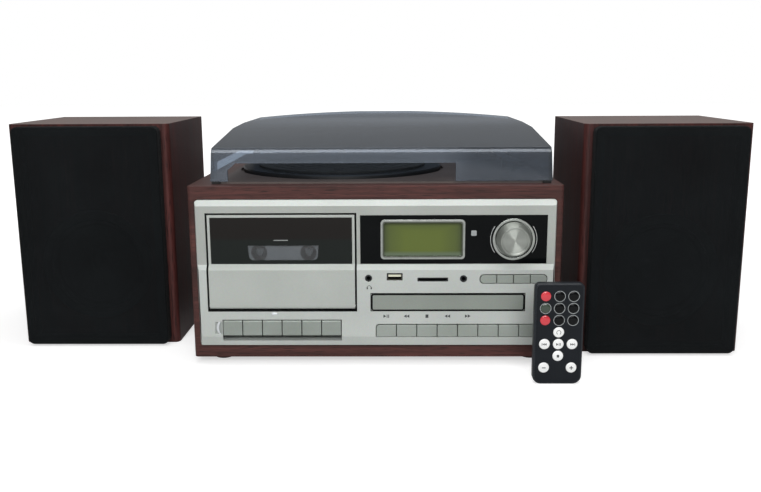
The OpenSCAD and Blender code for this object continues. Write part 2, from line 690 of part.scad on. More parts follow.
// Cue lever on a small post, and the two sliding switches, beside the arm
module cue_lever() color("#26282a") at_unit() translate([switch_x, cue_y, 0]) {
    rod_x(0, deck_z + 7, cue_axle_r, [-5.5, 5.5]);
    block([-1.5, 1.5], [-22, 2.5], [deck_z + 5.5, deck_z + 8.5]);
    block([-3, 3], [-28, -20], [deck_z + 5.5, deck_z + 8.5]);
}
module slide_switch(y, start) at_unit() translate([switch_x, y + start, 0]) {
    block(mid(0, 3.6), mid(0, 3.6), [top_z - 2, deck_z + 3.5]);
    block(mid(0, 7), mid(0, 18), [top_z - 4.6, top_z - 3.4]);
    block(mid(0, 3.6), mid(0, 3.6), [top_z - 3.6, top_z - 1.8]);
}
module speed_switch() color("#d6d8d8") slide_switch(speed_y, 0);
module auto_stop_switch() color("#d6d8d8") slide_switch(stop_y, -switch_travel / 2);

// Smoked dust cover: a sloped and slightly arched shell with cut-outs for a large record at the
// front and the left, a bevelled front edge, two hinge barrels and two rubber bumpers
function cover_side(t) = [
    [cover_y0 + t, cover_z - t], [cover_y0 + t, cover_z + cover_front_h - 4 - t / 2],
    [cover_y0 + 2.4 + t, cover_z + cover_front_h - t],
    [cover_y0 + 103, cover_z + 39.4 - t],
    [cover_y1 - 52, cover_z + 43 - t],
    [cover_y1 - t, cover_top_z - 0.3 - t], [cover_y1 - t, cover_z - t]
];
module cover_solid(t) intersection() {
    along_x([cover_x0 + t, cover_x1 - t]) polygon(cover_side(t));
    along_y([cover_y0 + t, cover_y1 - t]) polygon([
        [cover_x0 + t, cover_z - t], [cover_x0 + cover_draft + t, cover_top_z + 5],
        [cover_x1 - cover_draft - t, cover_top_z + 5], [cover_x1 - t, cover_z - t]
    ]);
    rod_y(cover_mid_x, cover_top_z - t - cover_arch_r, cover_arch_r, [cover_y0 - 1, cover_y1 + 1]);
}
module dust_cover() color(smoke) at_unit() {
    difference() {
        cover_solid(0);
        cover_solid(cover_wall);
        // Front cut-out, with one corner cut off
        along_y([cover_y0 - 1, cover_y0 + 8]) polygon([
            [cut_x0, cover_z - 1], [cut_x0, cut_z - 6], [cut_x0 + 7, cut_z], [cut_x1, cut_z],
            [cut_x1, cover_z - 1]
        ]);
        // Left cut-out
        block([cover_x0 - 1, cover_x0 + 8], [cut_y0, cut_y1], [cover_z - 1, cut_z]);
    }
    for (s = [-1, 1]) {
        x = cover_mid_x + s * hinge_spacing / 2;
        difference() {
            union() {
                rod_x(hinge_y, hinge_z, hinge_r, mid(x, hinge_barrel));
                block(mid(x, hinge_barrel), [cover_y1 - 0.5, hinge_y], [hinge_z - 1.5, hinge_z + hinge_r]);
            }
            block(mid(x, hinge_barrel + 1), [hinge_y - 8, hinge_y + 8], [deck_z - 9, cover_z - 0.4]);
        }
        rod_x(hinge_y, hinge_z, hinge_pin_r, mid(x, hinge_barrel + 13));
    }
    for (x = [cover_x0 + 4.5, cover_x1 - 4.5])
        block(mid(x, 7), [cover_y0 + 0.3, cover_y0 + 3.6], [top_z + 0.3, cover_z]);
}

// Cassette door: the silver front, hinged low down, with the holder that takes the cassette
module door_section() {
    polygon([
        [lower_y, door_axis_z], [lower_y, panel_z0 + ledge_low], [upper_y, panel_z0 + ledge_high],
        [upper_y, door_z1 - front_gap], [upper_y + 3.7, door_z1 - front_gap],
        [upper_y + 3.7, panel_z0 + ledge_low + 2], [lower_y + panel_wall + 0.5, panel_z0 + ledge_low - 1],
        [lower_y + panel_wall + 0.5, door_axis_z]
    ]);
    translate([door_axis_y, door_axis_z]) circle(door_corner);
}
module cassette_door() color(silver) at_unit() {
    difference() {
        along_x([door_x0 + front_gap, door_x1 - front_gap]) door_section();
        block([window_x0, window_x1], [upper_y - 3, upper_y + 2.2], [window_z0, window_z1]);
        block([window_x0 + 2, window_x1 - 2], [upper_y - 3, upper_y + 5], [window_z0 + 2, window_z1 - 2]);
    }
    rod_x(door_axis_y, door_axis_z, door_pin_r, [door_x0 - 2.2, door_x0 + 2]);
    rod_x(door_axis_y, door_axis_z, door_pin_r, [door_x1 - 2, door_x1 + 2.2]);
    for (s = [-1, 1]) {
        block(mid(reel_x + s * (holder_w + holder_wall) / 2, holder_wall),
              [lower_y + 3, holder_y], [reel_z - 38, window_z0 - 1]);
        block(mid(reel_x + s * (holder_w + holder_wall) / 2, holder_wall),
              [upper_y + 2.7, holder_y], [window_z0 - 2, reel_z + 8]);
    }
    block(mid(reel_x, holder_w + 2 * holder_wall), [lower_y + 3, holder_y],
          [reel_z - 38, reel_z - 38 + holder_wall]);
}

// Smoked window in the cassette door
module cassette_window() color("#14181a") at_unit()
    block([window_x0 + set_fit, window_x1 - set_fit], [upper_y + 0.2, upper_y + 2.2],
          [window_z0 + set_fit, window_z1 - set_fit]);

// Cassette chassis: the plate that carries the reels, with its posts, and the cheeks and shaft
// on which the piano keys turn
chassis_x0 = door_x0 - 5.8;
chassis_x1 = door_x1 + 4.8;
keys_x1 = keys_x0 + key_count * key_pitch;
module cassette_chassis() color("#6c7072") at_unit() difference() {
    union() {
        block([chassis_x0, chassis_x1], [chassis_y, chassis_y + chassis_t], [door_z0 - 6, door_z1 + 7]);
        for (p = [[chassis_x0 + 2.6, door_z1 + 4, upper_in_y], [chassis_x1 - 2.6, door_z1 + 4, upper_in_y],
                  [chassis_x0 + 2.6, door_z0 - 3, lower_in_y], [chassis_x1 - 2.6, door_z0 - 3, lower_in_y]])
            rod_y(p[0], p[1], 2.2, [p[2], chassis_y + 1]);
        for (x = [keys_x0 - 6, keys_x1 + 2.5])
            block([x, x + 3], [chassis_y, key_axis_y + 7], [key_axis_z - 6, door_z0 + 8]);
        rod_x(key_axis_y, key_axis_z, key_shaft_r, [keys_x0 - 4, keys_x1 + 4]);
    }
    for (s = [-1, 1]) rod_y(reel_x + s * reel_pitch / 2, reel_z, spindle_shaft_r + shaft_fit,
                            [chassis_y - 1, chassis_y + chassis_t + 1]);
}

// Reel spindle: a shaft, a friction disc and a three-finned tip
module reel_spindle(x) color("#d9dbda") at_unit() translate([x, 0, reel_z]) {
    rod_y(0, 0, spindle_shaft_r, [chassis_y - 6, chassis_y + chassis_t + 3]);
    rod_y(0, 0, 4, [chassis_y + chassis_t + 0.4, chassis_y + chassis_t + 3]);
    rod_y(0, 0, 10, [chassis_y - 2.4, chassis_y - 0.4]);
    rod_y(0, 0, 3.1, [chassis_y - 12.5, chassis_y - 1]);
    for (a = [90, 210, 330]) rotate([0, a, 0])
        block([0, 4.6], [chassis_y - 11, chassis_y - 2], [-0.6, 0.6]);
}
module supply_spindle() reel_spindle(reel_x - reel_pitch / 2);
module takeup_spindle() reel_spindle(reel_x + reel_pitch / 2);

// Piano key: a broad front on a lever that turns on the shaft behind it
module cassette_key(i) color("#9aa09a") at_unit() {
    x = keys_x0 + (i - 1) * key_pitch;
    c = x + (key_pitch - key_gap) / 2;
    key_back_y = front_y + 1.5;
    along_x([x, x + key_pitch - key_gap]) polygon([
        [key_face_y + 0.7, keys_z0], [key_face_y, keys_z0 + 1], [key_face_y + 0.4, keys_z0 + 3],
        [key_face_y + 1.2, keys_z0 + key_h - 1], [key_face_y + 2, keys_z0 + key_h],
        [key_back_y, keys_z0 + key_h], [key_back_y, keys_z0]
    ]);
    difference() {
        union() {
            block(mid(c, key_arm_w), [key_back_y - 1, key_axis_y], mid(key_axis_z, 5));
            rod_x(key_axis_y, key_axis_z, 4.2, mid(c, 12));
        }
        rod_x(key_axis_y, key_axis_z, key_shaft_r + shaft_fit, mid(c, 14));
    }
}

// Disc tray with its front, its dished bed and the slot that clears the hub
module cd_tray() color("#9aa09a") at_unit() {
    along_y([lower_y, lower_y + tray_front_t])
        round_rect([tray_x0 + front_gap, tray_x1 - front_gap],
                   [tray_z0 + front_gap, tray_z1 - front_gap], 0.8);
    difference() {
        block(mid(tray_mid_x, tray_w), [lower_y + tray_front_t - 0.5, lower_y + tray_l],
              [tray_bed_z, tray_bed_z + tray_t]);
        rod_z(tray_mid_x, disc_y, disc_r, [tray_bed_z + tray_t - 2.5, tray_bed_z + tray_t + 1]);
        rod_z(tray_mid_x, disc_y, 41, [tray_bed_z + tray_t - 4, tray_bed_z + tray_t + 1]);
        rod_z(tray_mid_x, disc_y, hub_slot_w / 2, [tray_bed_z - 1, tray_bed_z + tray_t + 1]);
        block(mid(tray_mid_x, hub_slot_w), [disc_y, lower_y + tray_l + 1],
              [tray_bed_z - 1, tray_bed_z + tray_t + 1]);
    }
}

// Disc loader: the frame that the tray runs in, on four legs, with the hub's motor and the sled
module cd_loader() color("#3a3d40") at_unit() {
    loader_y = [front_y + 9, lower_y + tray_l + 6];
    difference() {
        block(mid(tray_mid_x, tray_w + 2 * slide_fit + 2 * loader_rail), loader_y,
              [loader_z, tray_z0 + tray_open_h]);
        block(mid(tray_mid_x, tray_w + 2 * slide_fit), [loader_y[0] - 1, loader_y[1] + 1],
              [tray_bed_z - 0.3, tray_z1 + 9]);
        block(mid(tray_mid_x, tray_w - 8), [loader_y[0] - 1, loader_y[1] + 1],
              [loader_z + 2.5, tray_bed_z + 1]);
        rod_z(tray_mid_x, disc_y, 1.5 + shaft_fit, [loader_z - 1, tray_bed_z]);
        block(mid(tray_mid_x, 20), [disc_y + 22, disc_y + 58], [loader_z - 1, tray_bed_z]);
    }
    difference() {
        rod_z(tray_mid_x, disc_y, 10, [loader_z + 2, tray_bed_z - 0.5]);
        rod_z(tray_mid_x, disc_y, 1.5 + shaft_fit, [loader_z - 1, tray_bed_z]);
    }
    block(mid(tray_mid_x, 30), [disc_y + 26, disc_y + 36], [loader_z + 2, loader_z + 5.5]);
    rod_z(tray_mid_x, disc_y + 31, 3.5, [loader_z + 5, loader_z + 7]);
    for (x = mid(tray_mid_x, tray_w - 6), y = [loader_y[0] + 6, loader_y[1] - 6])
        rod_z(x, y, 4, [floor_z, loader_z + 0.5]);
}

// Hub that turns the disc
module disc_hub() color("#c8cacb") at_unit() translate([tray_mid_x, disc_y, 0]) {
    rod_z(0, 0, 1.5, [loader_z + 1, tray_bed_z + 2]);
    rod_z(0, 0, 13.5, [tray_bed_z + 0.2, tray_bed_z + 3.6]);
    rod_z(0, 0, 7.2, [tray_bed_z + 3, tray_bed_z + 5.6]);
}

// Push button: its cap in the slot, a flange behind the panel and a stem to its switch
module push_button(x, z, w, h, face_y, board, round_ends) {
    cap_x = [x, x + w - button_gap];
    c = x + (w - button_gap) / 2;
    flange_y = lower_in_y + 0.4 + button_travel;
    along_y([face_y, flange_y]) children();
    block(cap_x, [flange_y, flange_y + flange_t], [z - 1, z + h + 1]);
    rod_y(c, z + h / 2, stem_r, [lower_in_y + 0.5 + button_travel, board - button_travel - 3.6]);
}
module end_rounded(x, w, z, h, r, low, left, right) {
    a = [x, x + w - button_gap];
    difference() {
        translate([a[0], z]) square([a[1] - a[0], h]);
        if (left) translate([a[0] - 1, z + h - r]) square([r + 1, r + 1]);
        if (right) translate([a[1] - r, z + h - r]) square([r + 1, r + 1]);
        if (left && low) translate([a[0] - 1, z - 1]) square([r + 1, r + 1]);
        if (right && low) translate([a[1] - r, z - 1]) square([r + 1, r + 1]);
    }
    if (left) translate([a[0] + r, z + h - r]) circle(r);
    if (right) translate([a[1] - r, z + h - r]) circle(r);
    if (left && low) translate([a[0] + r, z + r]) circle(r);
    if (right && low) translate([a[1] - r, z + r]) circle(r);
}
module main_button(i) color("#9aa09a") at_unit() {
    x = main_x0 + (i - 1) * main_pitch;
    push_button(x, main_z0, main_pitch, main_h, main_face_y, main_board_y)
        end_rounded(x, main_pitch, main_z0, main_h, 2.6, false, i == 1, i == 8);
}
module function_button(i) color("#9aa09a") at_unit() {
    x = function_x0 + (i - 1) * function_pitch;
    push_button(x, function_z0, function_pitch, function_h, function_face_y, board_y)
        end_rounded(x, function_pitch, function_z0, function_h, 3.2, true, i == 1, i == 4);
}

// Control boards behind the panel, with the knob's encoder and the buttons' switches
module control_board() color("#2f6b45") at_unit() {
    upper_z = [panel_z0 + 52, panel_z0 + 118];
    difference() {
        union() {
            block([display_x0 + 2, display_x0 + display_w - 4], [board_y, board_y + circuit_t], upper_z);
            block(mid(knob_x, 14), [board_y - 6, board_y + 0.5], mid(knob_z, 14));
            rod_y(knob_x, knob_z, 4.5, [upper_in_y + 2, board_y]);
            for (i = [1 : 4])
                block(mid(function_x0 + (i - 0.5) * function_pitch - button_gap / 2, 6),
                      [board_y - 3.2, board_y + 0.5], mid(function_z0 + function_h / 2, 6));
            for (x = [display_x0 + 5, display_x0 + display_w - 8])
                rod_y(x, panel_z0 + 112, 2.4, [upper_in_y + 1.2, board_y + 0.5]);
        }
        rod_y(knob_x, knob_z, knob_shaft_r + shaft_fit, [upper_in_y, board_y - 3]);
    }
    block([main_x0 - 6, main_x0 + 8 * main_pitch + 4], [main_board_y, main_board_y + circuit_t],
          [main_z0 - 3, main_z0 + main_h + 7]);
    for (i = [1 : 8])
        block(mid(main_x0 + (i - 0.5) * main_pitch - button_gap / 2, 6),
              [main_board_y - 3.2, main_board_y + 0.5], mid(main_z0 + main_h / 2, 6));
    for (x = [main_x0 - 4, main_x0 + 8 * main_pitch + 2])
        rod_y(x, main_z0 + main_h + 4.4, 1.8, [lower_in_y, main_board_y + 0.5]);
}

// Amplifier and radio board on its posts, with a heat sink, and the mains transformer
module main_board() color("#2f6b45") at_unit() {
    block([-inner_x + 12, -20], [10, back_y - 40], [floor_z + 8, floor_z + 8 + circuit_t]);
    for (x = [-inner_x + 18, -26], y = [16, back_y - 46]) rod_z(x, y, 3, [floor_z, floor_z + 8.5]);
    for (k = [0 : 7]) block([-inner_x + 20 + 6 * k, -inner_x + 22 + 6 * k], [back_y - 60, back_y - 44],
                            [floor_z + 9, floor_z + 40]);
    block([-inner_x + 20, -inner_x + 64], [back_y - 62, back_y - 59], [floor_z + 9, floor_z + 40]);
    for (p = [[-90, 40], [-70, 40], [-50, 60], [-100, 70]])
        rod_z(p[0], p[1], 6, [floor_z + 9, floor_z + 28]);
}
module transformer() color("#7d7a72") at_unit() {
    block(mid(95, 66), mid(70, 30), [floor_z, floor_z + 52]);
    block(mid(95, 38), mid(70, 50), [floor_z + 9, floor_z + 43]);
}

// Speaker terminals, phono sockets and the mains inlet, set in the rear cover
module rear_sockets() color("#1b1c1e") at_unit() {
    y = [back_y - 16, back_y];
    difference() {
        union() {
            block(mid(terminal_x, terminal_w - 0.3), y, mid(terminal_z, terminal_h - 0.3));
            block(mid(terminal_x, terminal_w + 6), [y[0], back_y - rear_cover_t],
                  mid(terminal_z, terminal_h + 6));
        }
        for (k = [-1.5 : 1.5]) {
            block(mid(terminal_x + k * 14, 9), [back_y - 6, back_y + 1], [terminal_z - 9, terminal_z + 9]);
            rod_y(terminal_x + k * 14, terminal_z - 12, 1.3, [back_y - 10, back_y + 1]);
        }
    }
    for (k = [-1.5 : 1.5])
        block(mid(terminal_x + k * 14, 8), [back_y - 6, back_y - 1.5],
              [terminal_z - 8.5, terminal_z + 8.5]);
    for (k = [-1, 1]) difference() {
        union() {
            rod_y(phono_x + k * 9, terminal_z, 5.2, [back_y - 12, back_y]);
            block(mid(phono_x + k * 9, 15), [back_y - 12, back_y - rear_cover_t], mid(terminal_z, 16));
        }
        rod_y(phono_x + k * 9, terminal_z, 1.6, [back_y - 9, back_y + 1]);
    }
    difference() {
        union() {
            block(mid(inlet_x, inlet_w - 0.3), [back_y - 18, back_y], mid(inlet_z, inlet_h - 0.3));
            block(mid(inlet_x, inlet_w + 6), [back_y - 18, back_y - rear_cover_t],
                  mid(inlet_z, inlet_h + 6));
        }
        along_y([back_y - 14, back_y + 1]) round_rect(mid(inlet_x, 15.6), mid(inlet_z, 8.4), 4.1);
    }
    for (k = [-1, 1]) rod_y(inlet_x + k * 4, inlet_z, 1.2, [back_y - 15, back_y - 4]);
}

// Speaker: a wooden box with a driver behind a cloth-covered frame that pulls off
driver_z = 76;
driver_hole_r = driver_r - 6;
grille_w = speaker_w - 14.6;
grille_h = speaker_h - 4;
grille_corner = 5.5;
grille_off = 0.4;
left_x = -body_w / 2 - left_gap - speaker_w / 2;
right_x = body_w / 2 + right_gap + speaker_w / 2;
module at_left() at_unit() translate([left_x, front_y + left_setback, 0]) children();
module at_right() at_unit() translate([right_x, front_y + right_setback, 0]) children();
module speaker_box() color("#3d2a28") difference() {
    along_z([0, speaker_h]) rounded_front(mid(0, speaker_w), [0, speaker_d], speaker_edge_r);
    block(mid(0, speaker_w - 2 * speaker_wall), [speaker_wall, speaker_d - speaker_wall],
          [speaker_wall, speaker_h - speaker_wall]);
    rod_y(0, driver_z, driver_hole_r, [-1, speaker_wall + 1]);
    rod_y(0, driver_z, driver_r + 0.3, [-1, 2.6]);
    // Recess and two spring clips' holes for the wires at the back
    block(mid(0, 46), [speaker_d - 4, speaker_d + 1], mid(60, 26));
    for (k = [-1, 1]) rod_y(k * 9, 60, 1.3, [speaker_d - speaker_wall - 1, speaker_d + 1]);
}
module speaker_grille() color("#111416") difference() {
    along_y([-grille_t - grille_off, -grille_off])
        round_rect(mid(0, grille_w), mid(speaker_h / 2, grille_h), grille_corner);
    along_y([-grille_t - grille_off + 1.2, 1])
        round_rect(mid(0, grille_w - 16), mid(speaker_h / 2, grille_h - 16), 3);
}
module speaker_driver() color("#2a2c2e") translate([0, 0, driver_z]) rotate([-90, 0, 0]) {
    rotate_extrude() polygon([
        [driver_r - 8, 0], [driver_r, 0], [driver_r, 2.6], [driver_hole_r - 0.4, 2.6],
        [driver_hole_r - 0.4, 9], [24, 30], [32, 30], [32, 46], [0, 46], [0, 30], [12, 30],
        [driver_r - 11, 7], [driver_r - 8, 2]
    ]);
    rotate_extrude() polygon([
        [0, 18], [8, 19.5], [13, 23], [driver_r - 16, 6.5], [driver_r - 12, 3.5], [driver_r - 9, 0.4],
        [driver_r - 8.2, 1.6], [driver_r - 12, 5.5], [driver_r - 15, 8], [13, 24.5], [0, 24.5]
    ]);
}
module left_speaker_box() at_left() speaker_box();
module left_speaker_grille() at_left() speaker_grille();
module left_woofer() at_left() speaker_driver();
module right_speaker_box() at_right() speaker_box();
module right_speaker_grille() at_right() speaker_grille();
module right_woofer() at_right() speaker_driver();

// Card remote, standing on its lower edge, with a membrane of domed keys on its face
remote_x = tray_x1 - front_gap + 1.8 + remote_w / 2;
remote_y = front_y - remote_ahead;
key_col = 11.2;
key_row = 10;
dome_r = 4.37;
top_row_z = remote_h - 10.6;
// Keys of the remote as [column, row]: three full rows, then the transport cross, then two
remote_keys = concat(
    [for (r = [0 : 2], c = [-1 : 1]) [c, r]],
    [[0, 3], [-1, 4], [0, 4], [1, 4], [0, 5], [-1, 6], [1, 6]]
);
module remote_outline(r_low, r_high, inset) {
    a = mid(0, remote_w - 2 * inset);
    b = [inset, remote_h - inset];
    for (u = [a[0] + r_low, a[1] - r_low]) translate([u, b[0] + r_low]) circle(r_low);
    for (u = [a[0] + r_high, a[1] - r_high]) translate([u, b[1] - r_high]) circle(r_high);
    translate([a[0], b[0] + r_low]) square([a[1] - a[0], b[1] - b[0] - r_low - r_high]);
    translate([a[0] + r_low, b[0]]) square([a[1] - a[0] - 2 * r_low, r_low + 1]);
    translate([a[0] + r_high, b[1] - r_high - 1]) square([a[1] - a[0] - 2 * r_high, r_high + 1]);
}
module at_remote() at_unit() translate([remote_x, remote_y, 0]) children();
module remote_case() color("#23282e") at_remote() along_y([0, remote_t]) remote_outline(5, 2.5, 0);
module remote_keypad() color("#e8e8e6") at_remote() {
    along_y([-keypad_t, 0]) remote_outline(4.4, 2, 0.7);
    for (k = remote_keys)
        translate([k[0] * key_col, -keypad_t, top_row_z - k[1] * key_row]) rotate([90, 0, 0])
            cylinder(r1 = dome_r, r2 = dome_r - 1.2, h = dome_h);
}

cabinet();
rear_cover();
front_panel();
display_window();
display_trim();
lcd_panel();
volume_knob();
front_sockets();
feet();
turntable_deck();
platter();
platter_mat();
turntable_motor();
motor_pulley();
drive_belt();
arm_pivot();
tonearm();
cue_lever();
speed_switch();
auto_stop_switch();
dust_cover();
cassette_door();
cassette_window();
cassette_chassis();
supply_spindle();
takeup_spindle();
cassette_key(1);  // cassette_key_1
cassette_key(2);  // cassette_key_2
cassette_key(3);  // cassette_key_3
cassette_key(4);  // cassette_key_4
cassette_key(5);  // cassette_key_5
cassette_key(6);  // cassette_key_6
cd_tray();
cd_loader();
disc_hub();
main_button(1);  // main_button_1
main_button(2);  // main_button_2
main_button(3);  // main_button_3
main_button(4);  // main_button_4
main_button(5);  // main_button_5
main_button(6);  // main_button_6
main_button(7);  // main_button_7
main_button(8);  // main_button_8
function_button(1);  // function_button_1
function_button(2);  // function_button_2
function_button(3);  // function_button_3
function_button(4);  // function_button_4
control_board();
main_board();
transformer();
rear_sockets();
screws();
left_speaker_box();
left_speaker_grille();
left_woofer();
right_speaker_box();
right_speaker_grille();
right_woofer();
remote_case();
remote_keypad();
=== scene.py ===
import math

import bmesh
import bpy
from mathutils import Matrix, Vector
from mathutils.geometry import tessellate_polygon


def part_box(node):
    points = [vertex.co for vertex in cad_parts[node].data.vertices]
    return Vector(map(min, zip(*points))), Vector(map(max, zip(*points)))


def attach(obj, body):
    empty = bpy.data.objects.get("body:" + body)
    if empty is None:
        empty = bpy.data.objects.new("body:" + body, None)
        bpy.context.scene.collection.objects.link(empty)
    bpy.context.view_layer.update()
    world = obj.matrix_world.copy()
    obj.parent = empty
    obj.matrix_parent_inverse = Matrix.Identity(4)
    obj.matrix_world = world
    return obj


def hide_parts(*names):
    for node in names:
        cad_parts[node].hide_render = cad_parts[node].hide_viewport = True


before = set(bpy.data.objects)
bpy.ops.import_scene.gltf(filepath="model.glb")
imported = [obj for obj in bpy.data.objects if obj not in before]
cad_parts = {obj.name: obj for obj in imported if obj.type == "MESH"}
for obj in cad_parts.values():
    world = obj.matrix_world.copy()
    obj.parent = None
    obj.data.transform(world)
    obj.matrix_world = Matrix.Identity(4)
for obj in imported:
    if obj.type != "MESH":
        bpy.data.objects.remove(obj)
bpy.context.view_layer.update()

scene = bpy.context.scene
scene.view_settings.view_transform = "Standard"


# Camera, floor and light
# The set stands on a plain pale floor in an even studio. A wide soft light hangs above it, and
# another above the camera, which looks slightly down from a little right of the middle.
def linear(colour):
    """Turns an sRGB hex colour into the linear values that Blender works with."""
    parts = [int(colour[i:i + 2], 16) / 255 for i in (1, 3, 5)]
    return [p / 12.92 if p <= 0.04045 else ((p + 0.055) / 1.055) ** 2.4 for p in parts] + [1.0]


def feed(tree, node, values):
    """Gives a node's inputs their values. A node, by its first output, or an output is linked."""
    for name, value in values.items():
        if isinstance(value, bpy.types.Node):
            value = value.outputs[0]
        if isinstance(value, bpy.types.NodeSocket):
            tree.links.new(value, node.inputs[name])
        else:
            node.inputs[name].default_value = linear(value) if isinstance(value, str) else value


def put(tree, kind, values=None, stops=None, **settings):
    """Adds a node with its settings, its ramp's stops, and its inputs' values and links."""
    node = tree.nodes.new("ShaderNode" + kind)
    for name, value in settings.items():
        setattr(node, name, value)
    if stops:
        marks = node.color_ramp.elements
        while len(marks) < len(stops):
            marks.new(0.5)
        for mark, (position, colour) in zip(marks, stops):
            mark.position = position
            mark.color = linear(colour)
    feed(tree, node, values or {})
    return node


def start_finish(name):
    """Starts a material. Gives it with its node tree, its shader and the object's coordinates."""
    finish = bpy.data.materials.new(name)
    finish.use_nodes = True
    tree = finish.node_tree
    return finish, tree, tree.nodes["Principled BSDF"], put(tree, "TexCoord").outputs["Object"]


def by_ray(tree, straight, gloss, other):
    """A strength for the rays that go straight from the camera or through glass, one for the rays
    that gloss sends out, and one for the light that falls on things."""
    rays = put(tree, "LightPath").outputs
    plain = put(tree, "Math", {0: rays["Is Camera Ray"], 1: rays["Is Transmission Ray"]},
                operation="MAXIMUM")
    bounced = put(tree, "Mix", {0: rays["Is Glossy Ray"], 2: other, 3: gloss})
    return put(tree, "Mix", {0: plain, 2: bounced, 3: straight})


floor_size = 12.0
floor_mesh = bmesh.new()
bmesh.ops.create_grid(floor_mesh, x_segments=2, y_segments=2, size=floor_size / 2)
floor_data = bpy.data.meshes.new("studio_floor")
floor_mesh.to_mesh(floor_data)
floor_mesh.free()
studio_floor = bpy.data.objects.new("studio_floor", floor_data)
scene.collection.objects.link(studio_floor)
# White painted floor: matt, with a glow of its own that only straight rays see, stronger away from
# the set, so that it ends in white and still holds the soft shadow under the set.
painted_floor, tree, shader, place = start_finish("white_floor_paint_rolled")
paint_grain = put(tree, "TexNoise", {"Vector": place, "Scale": 900.0, "Detail": 3.0})
paint_bump = put(tree, "Bump", {"Height": paint_grain, "Strength": 0.05, "Distance": 0.0005})
far = put(tree, "VectorMath", {0: place}, operation="LENGTH").outputs["Value"]
away = put(tree, "MapRange", {"Value": far, "From Min": 0.40, "From Max": 1.10, "To Min": 0.56},
           interpolation_type="SMOOTHSTEP")
matt = put(tree, "BsdfDiffuse", {"Color": "#cfcfcf", "Normal": paint_bump})
glow = put(tree, "Emission", {"Color": "#ffffff", "Strength": by_ray(tree, away, 0.05, 0.0)})
put(tree, "OutputMaterial", {"Surface": put(tree, "AddShader", {0: matt, 1: glow})}, is_active_output=True)
floor_data.materials.append(painted_floor)

# The room is white to the eye and through glass. To gloss it is grey behind and above the set, and
# nearly dark behind the camera, as a studio is.
studio = bpy.data.worlds.new("studio")
scene.world = studio
studio.use_nodes = True
tree = studio.node_tree
tree.nodes.clear()
direction = put(tree, "SeparateXYZ", {0: put(tree, "TexCoord").outputs["Generated"]})
toward_back = put(tree, "MapRange", {"Value": direction.outputs["Y"], "From Min": -0.75, "From Max": 0.05,
                                     "To Min": 0.08, "To Max": 0.32}, interpolation_type="SMOOTHSTEP")
room = put(tree, "Background", {"Color": "#ffffff", "Strength": by_ray(tree, 1.0, toward_back, 0.24)})
put(tree, "OutputWorld", {"Surface": room})

target = Vector((0.0, 0.0, 0.1))
for name, place, width, depth, power in [
    ("light_above", (0.1, -0.15, 1.5), 1.5, 1.0, 12.0),
    ("light_above_camera", (0.0, -1.9, 1.1), 1.5, 0.9, 32.0),
]:
    lamp = bpy.data.lights.new(name, "AREA")
    lamp.shape = "RECTANGLE"
    lamp.size, lamp.size_y = width, depth
    lamp.energy = power
    holder = bpy.data.objects.new(name, lamp)
    scene.collection.objects.link(holder)
    holder.location = place
    holder.rotation_euler = (target - Vector(place)).to_track_quat("-Z", "Y").to_euler()

# The camera's place and turn were found from the set's own straight edges.
camera_at = Vector((0.01752, -0.8300, 0.24941))
camera_down, camera_turn, camera_roll = 0.201, -0.014, -0.005
lens = bpy.data.cameras.new("camera")
lens.sensor_width = 36.0
lens.lens = 39.77
lens.clip_start = 0.01
camera = bpy.data.objects.new("camera", lens)
scene.collection.objects.link(camera)
ahead = Vector((math.sin(camera_turn) * math.cos(camera_down), math.cos(camera_turn) * math.cos(camera_down),
                -math.sin(camera_down)))
level = Vector((math.cos(camera_turn), -math.sin(camera_turn), 0.0))
upward = level.cross(ahead)
right = level * math.cos(camera_roll) + upward * math.sin(camera_roll)
upward = upward * math.cos(camera_roll) - level * math.sin(camera_roll)
axes = Matrix((right, upward, -ahead)).transposed().to_4x4()
camera.matrix_world = Matrix.Translation(camera_at) @ axes
scene.camera = camera


# Cabinet
# A box of fibreboard covered with mahogany veneer, stained red-brown and lacquered. The upright
# front edges are rounded over, and the top board is cut out for the turntable.
unit_x, unit_y = 3.25, 26.15


def in_unit(place):
    """A place in the set, in metres, as (x, y, z) in the main unit's own millimetres."""
    return place.x * 1000 - unit_x, place.y * 1000 - unit_y, place.z * 1000


def soften(name, width, finish, sides=2, smooth_below=34):
    """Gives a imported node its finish, rounds its sharp edges by width mm and evens its shading, but
    for edges that turn by more than smooth_below degrees. With no width the edges stay sharp, as on a
    panel with holes, whose finish rounds them instead."""
    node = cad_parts[name]
    node.data.materials.clear()
    node.data.materials.append(finish)
    for face in node.data.polygons:
        face.use_smooth = True
        face.material_index = 0
    for spare in ("custom_normal", "sharp_edge"):
        if spare in node.data.attributes:
            node.data.attributes.remove(node.data.attributes[spare])
    weld = node.modifiers.new("weld", "WELD")
    weld.merge_threshold = 0.000005
    if width:
        flatten = node.modifiers.new("flatten", "DECIMATE")
        flatten.decimate_type = "DISSOLVE"
        flatten.angle_limit = math.radians(0.3)
        edge = node.modifiers.new("edge", "BEVEL")
        edge.width = width / 1000
        edge.segments = sides
        edge.limit_method = "ANGLE"
        edge.angle_limit = math.radians(32)
        edge.use_clamp_overlap = False
    split = node.modifiers.new("split", "EDGE_SPLIT")
    split.split_angle = math.radians(smooth_below)
    node.modifiers.new("even", "WEIGHTED_NORMAL")
    return node


def paint_where(node, finish, chosen):
    """Gives those faces of a node another finish whose middle, in metres, is chosen."""
    node.data.materials.append(finish)
    last = len(node.data.materials) - 1
    for face in node.data.polygons:
        if chosen(face.center):
            face.material_index = last


